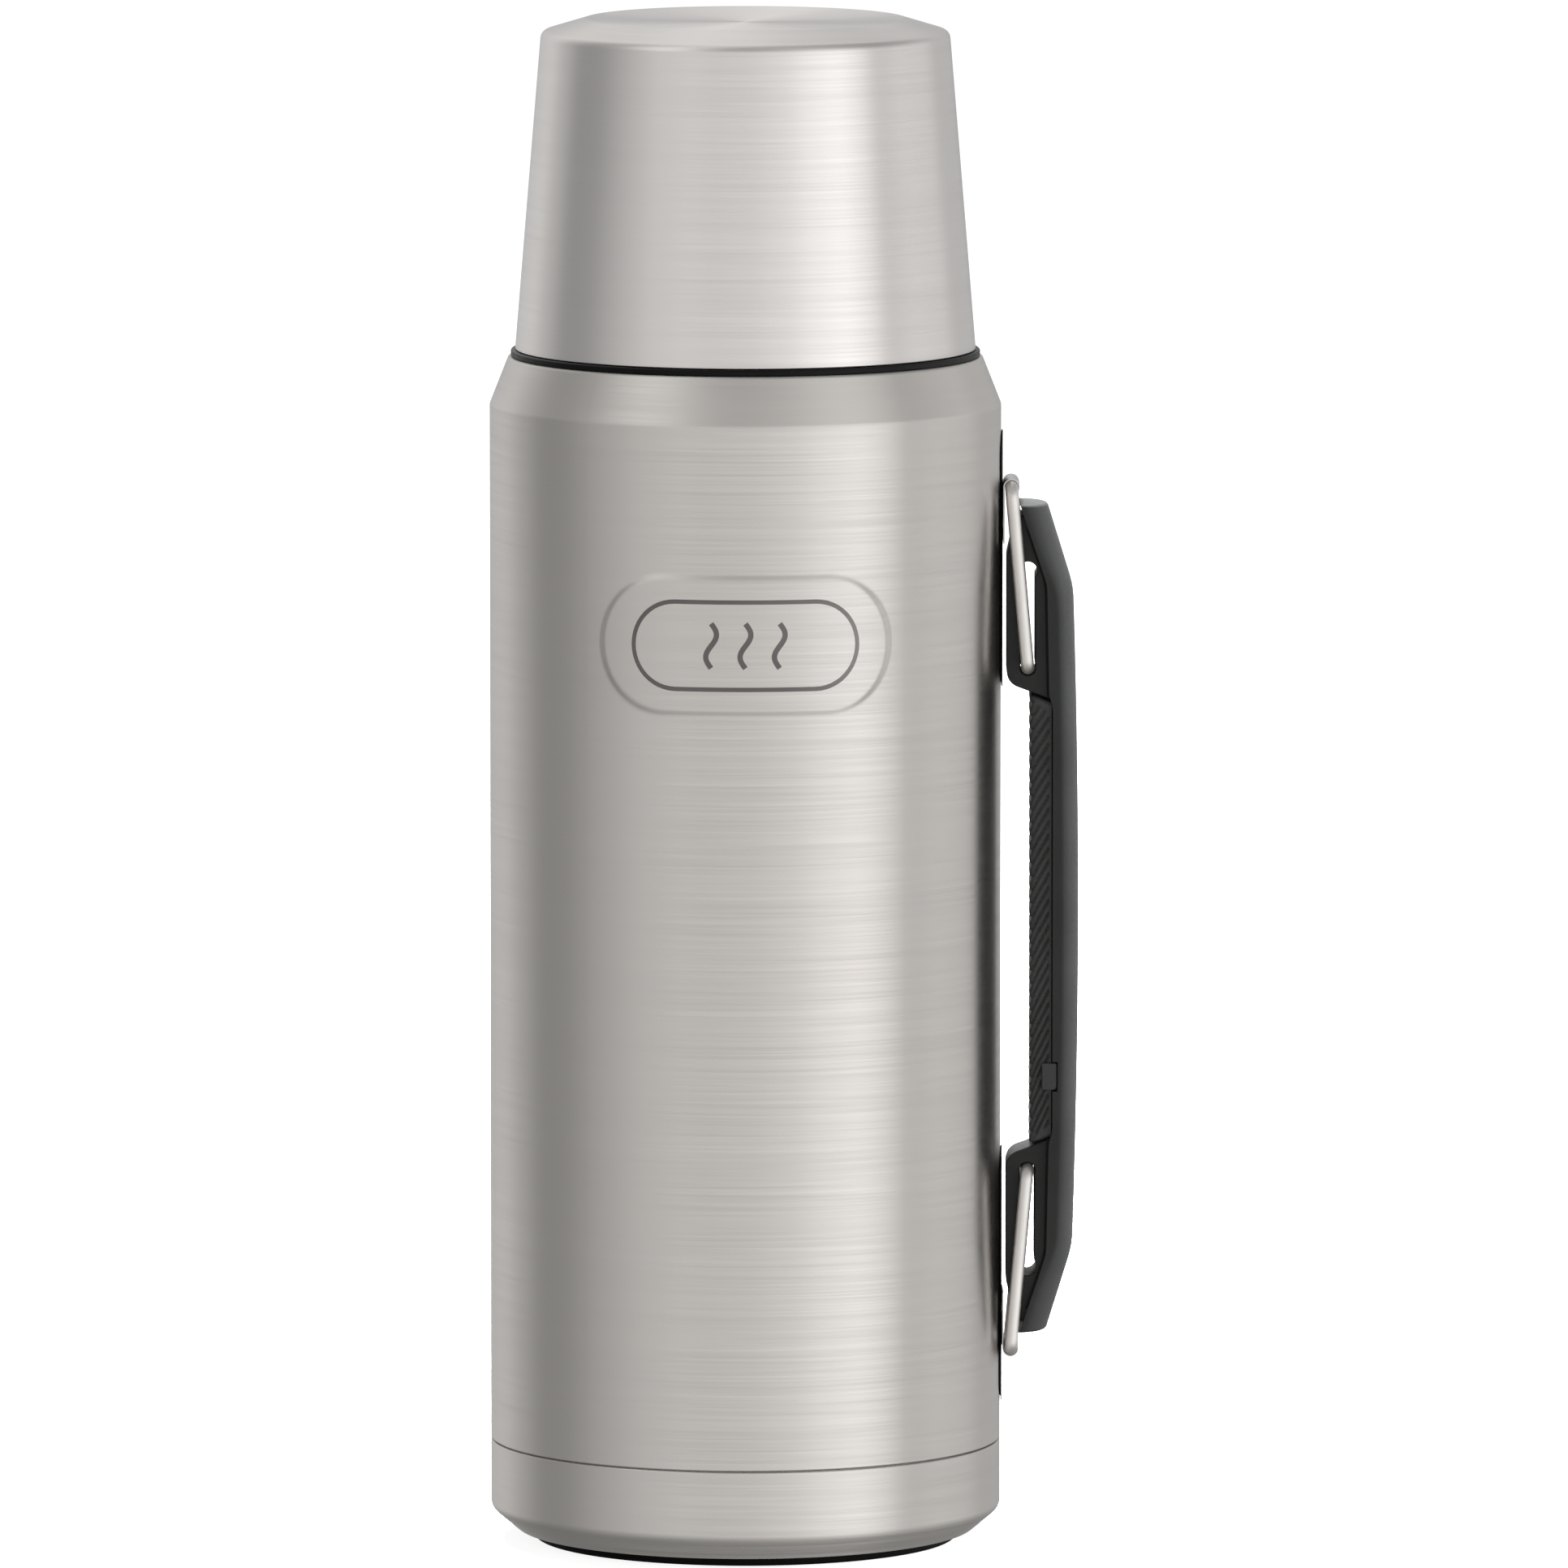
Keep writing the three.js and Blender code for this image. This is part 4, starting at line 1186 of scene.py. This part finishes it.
def handle_cover():
    """The rounded shell that faces away from the bottle, hollow for the frame's spine."""
    fillet, wall = 0.6, 2
    made = rounded_bar("handle_cover_shell", cover_ring, HANDLE_H, fillet, 6, 118)
    room = HANDLE_H - wall
    heights = [room * (1 - 2 * k / 40) for k in range(41)]
    cavity = [(FRAME.x0 - 1, room)] + [(cover_room(h), h) for h in heights]
    cavity.append((FRAME.x0 - 1, -room))
    hollow = plate("cavity", [(x, h + HANDLE_Z) for x, h in cavity], FRAME_HALF + 0.3)
    reach = 64.8
    notch = [(LATCH_X, LATCH_LOW), (reach, LATCH_LOW), (reach, LATCH_HIGH), (LATCH_X, LATCH_HIGH)]
    gap = plate("notch", [(x, h + HANDLE_Z) for x, h in notch], 20)
    combine(made, "DIFFERENCE", hollow, gap)
    finished(made, "handle_cover", handle_plastic, 40)


def slot_outline(near, far, half):
    """A slot with a round eye of (height, radius) at each end, in (x, height)."""
    points = []
    for (middle, radius), turned in ((far, 0), (near, math.pi)):
        lean = math.asin(half / radius)
        start = turned - math.pi / 2 + lean
        points += arc(PIN_X, middle, radius, start, TURN - 2 * lean, 24)
    return points


def handle_frame():
    """Two slotted eye plates joined by a spine that lies in the cover."""
    top, gap, steps = HANDLE_H - 2.3, 0.3, 30
    back = [(cover_room(h) - gap, h) for h in (top - top * k / steps for k in range(steps))]
    front = [
        (63.5, 45.8),
        (59, 47.5),
        (FRAME.x0, 49.3, 3.5),
        (FRAME.x0, 75.5, 2),
        (54.9, 79, 1),
        (56.6, top),
    ]
    half = rounded(front, False, 6) + back
    outline = half + [(x, -h) for x, h in reversed(half)]
    made = plate("handle_frame_plates", [(x, h + HANDLE_Z) for x, h in outline], FRAME_HALF)
    tools = []
    for side in (1, -1):
        points = slot_outline(SLOT_NEAR, SLOT_FAR, SLOT_HALF)
        tools.append(plate("slot", [(x, side * h + HANDLE_Z) for x, h in points], 20))
    combine(made, "DIFFERENCE", *tools)
    soften(made, 0.35, 3, 40)
    width, lap, depth, reach = 0.5, 0.4, 0.9, HANDLE_H - 5
    heights = [reach * (1 - k / 40) for k in range(81)]
    seam = [(cover_edge(h) - width, h + HANDLE_Z) for h in heights]
    seam += [(cover_edge(h) + lap, h + HANDLE_Z) for h in reversed(heights)]
    for side in (1, -1):
        ends = (side * (FRAME_HALF - depth), side * (FRAME_HALF + 1))
        groove = loft("seam", [[(x, y, z) for x, z in seam] for y in ends])
        combine(made, "DIFFERENCE", groove)
    finished(made, "handle_frame", frame_plastic, 40)


def grip_ring(h, inset):
    """The grip's outline at a height, with slanting ribs cut across its sides and inner face."""
    front, back = GRIP.x0 + inset, 63.45
    half = GRIP_HALF - inset
    radius = 1.7
    pitch, lean, depth = 2.8, 1.73, 0.5
    side = []
    for k in range(9):
        side.append((back + (front + radius - back) * k / 9, half, 0, 1))
    for k in range(9):
        a = math.pi / 2 * k / 8
        side.append((
            front + radius - radius * math.sin(a), half - radius + radius * math.cos(a),
            -math.sin(a), math.cos(a),
        ))
    flat = half - radius
    for k in range(1, 5):
        side.append((front, flat * (1 - k / 4), -1, 0))
    other = [(x, -y, nx, -ny) for x, y, nx, ny in reversed(side[:-1])]
    ring = []
    for x, y, nx, ny in side + other:
        wave = math.cos(TURN * (h - lean * (x - GRIP.x0)) / pitch)
        rim = smooth_step(0.1, 0.7, back - x)
        top = GRIP_H - GRIP_SLOPE * (x - GRIP.x0)
        end = smooth_step(0.4, 1.6, top - abs(h))
        cut = depth * smooth_step(-0.1, 0.85, wave) * rim * end
        ring.append((x - nx * cut, y - ny * cut, h * top / GRIP_H + HANDLE_Z))
    return ring


def handle_grip():
    """The ribbed grip on the spine's inner side, with a tab that locks into the cover's notch."""
    made = rounded_bar("handle_grip_ribs", grip_ring, GRIP_H, 0.8, 5, 420)
    for side in (1, -1):
        low, high, near, reach = LATCH_LOW + 0.3, LATCH_HIGH - 0.3, 61.5, 64.6
        corners = [(near, low), (reach, low, 0.9), (reach, high, 0.4), (near, high)]
        outline = rounded(corners, True, 4)
        sides = (side * (FRAME_HALF + 0.35), side * GRIP.y1)
        rings = [[(x, y, h + HANDLE_Z) for x, h in outline] for y in sides]
        combine(made, "UNION", soften(loft("tab", rings), 0.25, 2, 50))
    finished(made, "handle_grip", grip_rubber, 50)


# ---- The stage ----


def floor():
    """A wide pale floor that fades into the pale room. Only the camera sees it."""
    radius = 40000
    rings = [
        [(radius * math.cos(a), radius * math.sin(a), z) for a in even_angles(96)]
        for z in (-2, -0.02)
    ]
    made = loft("floor", rings)
    surface = Surface("floor_paint", Roughness=0.9, Specular_IOR_Level=0.0)
    mottle = surface.noise(surface.place, 40.0, 2.0)
    surface.set(
        Base_Color=surface.between(mottle, (0.24, 0.24, 0.24), (0.25, 0.25, 0.25)),
        Emission_Color=(1, 1, 1, 1),
        Emission_Strength=0.88,
    )
    output = surface.tree.nodes["Material Output"]
    surface.split(output, surface.shader, surface.add("ShaderNodeBsdfTransparent"))
    made.data.materials.append(surface.material)


def room():
    """Soft studio light: a wrap of pale walls, brighter to the right and darker to the sides."""
    world = bpy.data.worlds.new("studio")
    bpy.context.scene.world = world
    world.use_nodes = True
    world.node_tree.nodes.clear()
    nodes = Nodes(world.node_tree)
    towards = nodes.add("ShaderNodeTexCoord").outputs["Generated"]
    x, y, z = nodes.add("ShaderNodeSeparateXYZ", Vector=towards).outputs
    azimuth = nodes.math("ARCTAN2", x, nodes.math("MULTIPLY", y, -1.0))
    share = nodes.math("ADD", nodes.math("DIVIDE", azimuth, TURN), 0.5)

    # Degrees round the object from the front, to the right, and the walls' brightness there.
    most = 1.7
    floor_light = 0.21
    low_walls = (
        (-180, 0.58), (-168, 0.60), (-157, 0.64), (-138, 0.74), (-120, 0.54), (-106, 0.33),
        (-90, 0.36), (-73, 0.505), (-60, 0.56), (-46, 0.69), (-26, 0.90), (0, 1.01), (20, 1.16),
        (38, 1.45), (54, 1.63), (66, 1.38), (79, 0.83), (96, 0.94), (118, 0.84), (135, 0.60),
        (158, 0.55), (166, 0.50), (180, 0.55),
    )
    high_walls = (
        (-180, 1.05), (-150, 0.85), (-124, 0.52), (-104, 0.36), (-83, 0.55), (-69, 1.13),
        (-55, 1.26), (-42, 0.93), (-30, 0.52), (-17, 0.33), (-4, 0.30), (8, 0.32), (21, 0.37),
        (34, 0.43), (46, 0.52), (59, 0.45), (73, 0.31), (87, 0.33), (105, 0.25), (140, 0.42),
        (180, 1.05),
    )

    def grey(light):
        return (light / most, light / most, light / most, 1)

    def ramp(stops):
        made = nodes.add("ShaderNodeValToRGB", Fac=share)
        elements = made.color_ramp.elements
        while len(elements) > 1:
            elements.remove(elements[-1])
        for k, (angle, light) in enumerate(stops):
            at = angle / 360 + 0.5
            element = elements[0] if k == 0 else elements.new(at)
            element.position = at
            element.color = grey(light)
        made.color_ramp.interpolation = "EASE"
        return made.outputs[0]

    def blend_by_height(low, high, below, above, height):
        """Turns from the walls below one angle of rise to the walls above another."""
        rise = nodes.add(
            "ShaderNodeMapRange", {"interpolation_type": "SMOOTHSTEP"}, Value=height,
            From_Min=math.sin(math.radians(below)), From_Max=math.sin(math.radians(above)),
        )
        return nodes.mixed(rise.outputs[0], low, high)

    walls = blend_by_height(ramp(low_walls), ramp(high_walls), 12, 34, z)
    lower_at_front = nodes.math("ADD", z, nodes.math("MULTIPLY", y, -0.25))
    walls = blend_by_height(grey(floor_light), walls, -38, -20, lower_at_front)
    warm = nodes.mixed(1.0, walls, (1.0, 0.995, 0.985, 1), "MULTIPLY")
    light = nodes.add("ShaderNodeBackground", Color=warm, Strength=most)
    seen = nodes.add("ShaderNodeBackground", Color=(1, 1, 1, 1), Strength=1.0)
    nodes.split(nodes.add("ShaderNodeOutputWorld"), seen, light)


def lamp(name, place, size, power):
    """A soft panel aimed at the flask. It lights dull surfaces and isn't mirrored in steel."""
    data = bpy.data.lights.new(name, "AREA")
    data.shape = "SQUARE"
    data.size = size
    data.energy = power
    made = bpy.data.objects.new(name, data)
    made.location = place
    made.rotation_euler = (Vector((0, 0, 0.15)) - made.location).to_track_quat("-Z", "Y").to_euler()
    made.visible_glossy = False
    made.visible_camera = False
    bpy.context.scene.collection.objects.link(made)


def lamps():
    lamp("side_panel", (1.5, 0.15, 0.3), 0.6, 58)
    lamp("top_panel", (-0.2, 0.55, 1.5), 0.6, 380)


def camera():
    """A long lens from in front and a little above, aimed at the flask's middle height."""
    data = bpy.data.cameras.new("camera")
    data.sensor_width = 36
    data.lens = 476.5
    data.shift_x = 0.0246
    data.clip_end = 200
    made = bpy.data.objects.new("camera", data)
    made.location = (0, -4.281, 0.646)
    aim = Vector((0, 0, 0.1575)) - made.location
    made.rotation_euler = aim.to_track_quat("-Z", "Y").to_euler()
    bpy.context.scene.collection.objects.link(made)
    bpy.context.scene.camera = made


for make in (
    outer_shell, panel_print, base_cup, base_pad, outer_base_disc, vacuum_seal_plug,
    inner_vessel, inner_vessel_base, radiation_foil, getter, neck_collar, stopper_body,
    stopper_cap, stopper_foam, stopper_base, stopper_lower_seal, stopper_upper_seal, cup_shell,
    cup_liner, cup_thread_ring, suspension, handle_cover, handle_frame, handle_grip, floor,
    room, lamps, camera,
):
    make()
bpy.context.scene.view_settings.view_transform = "Standard"
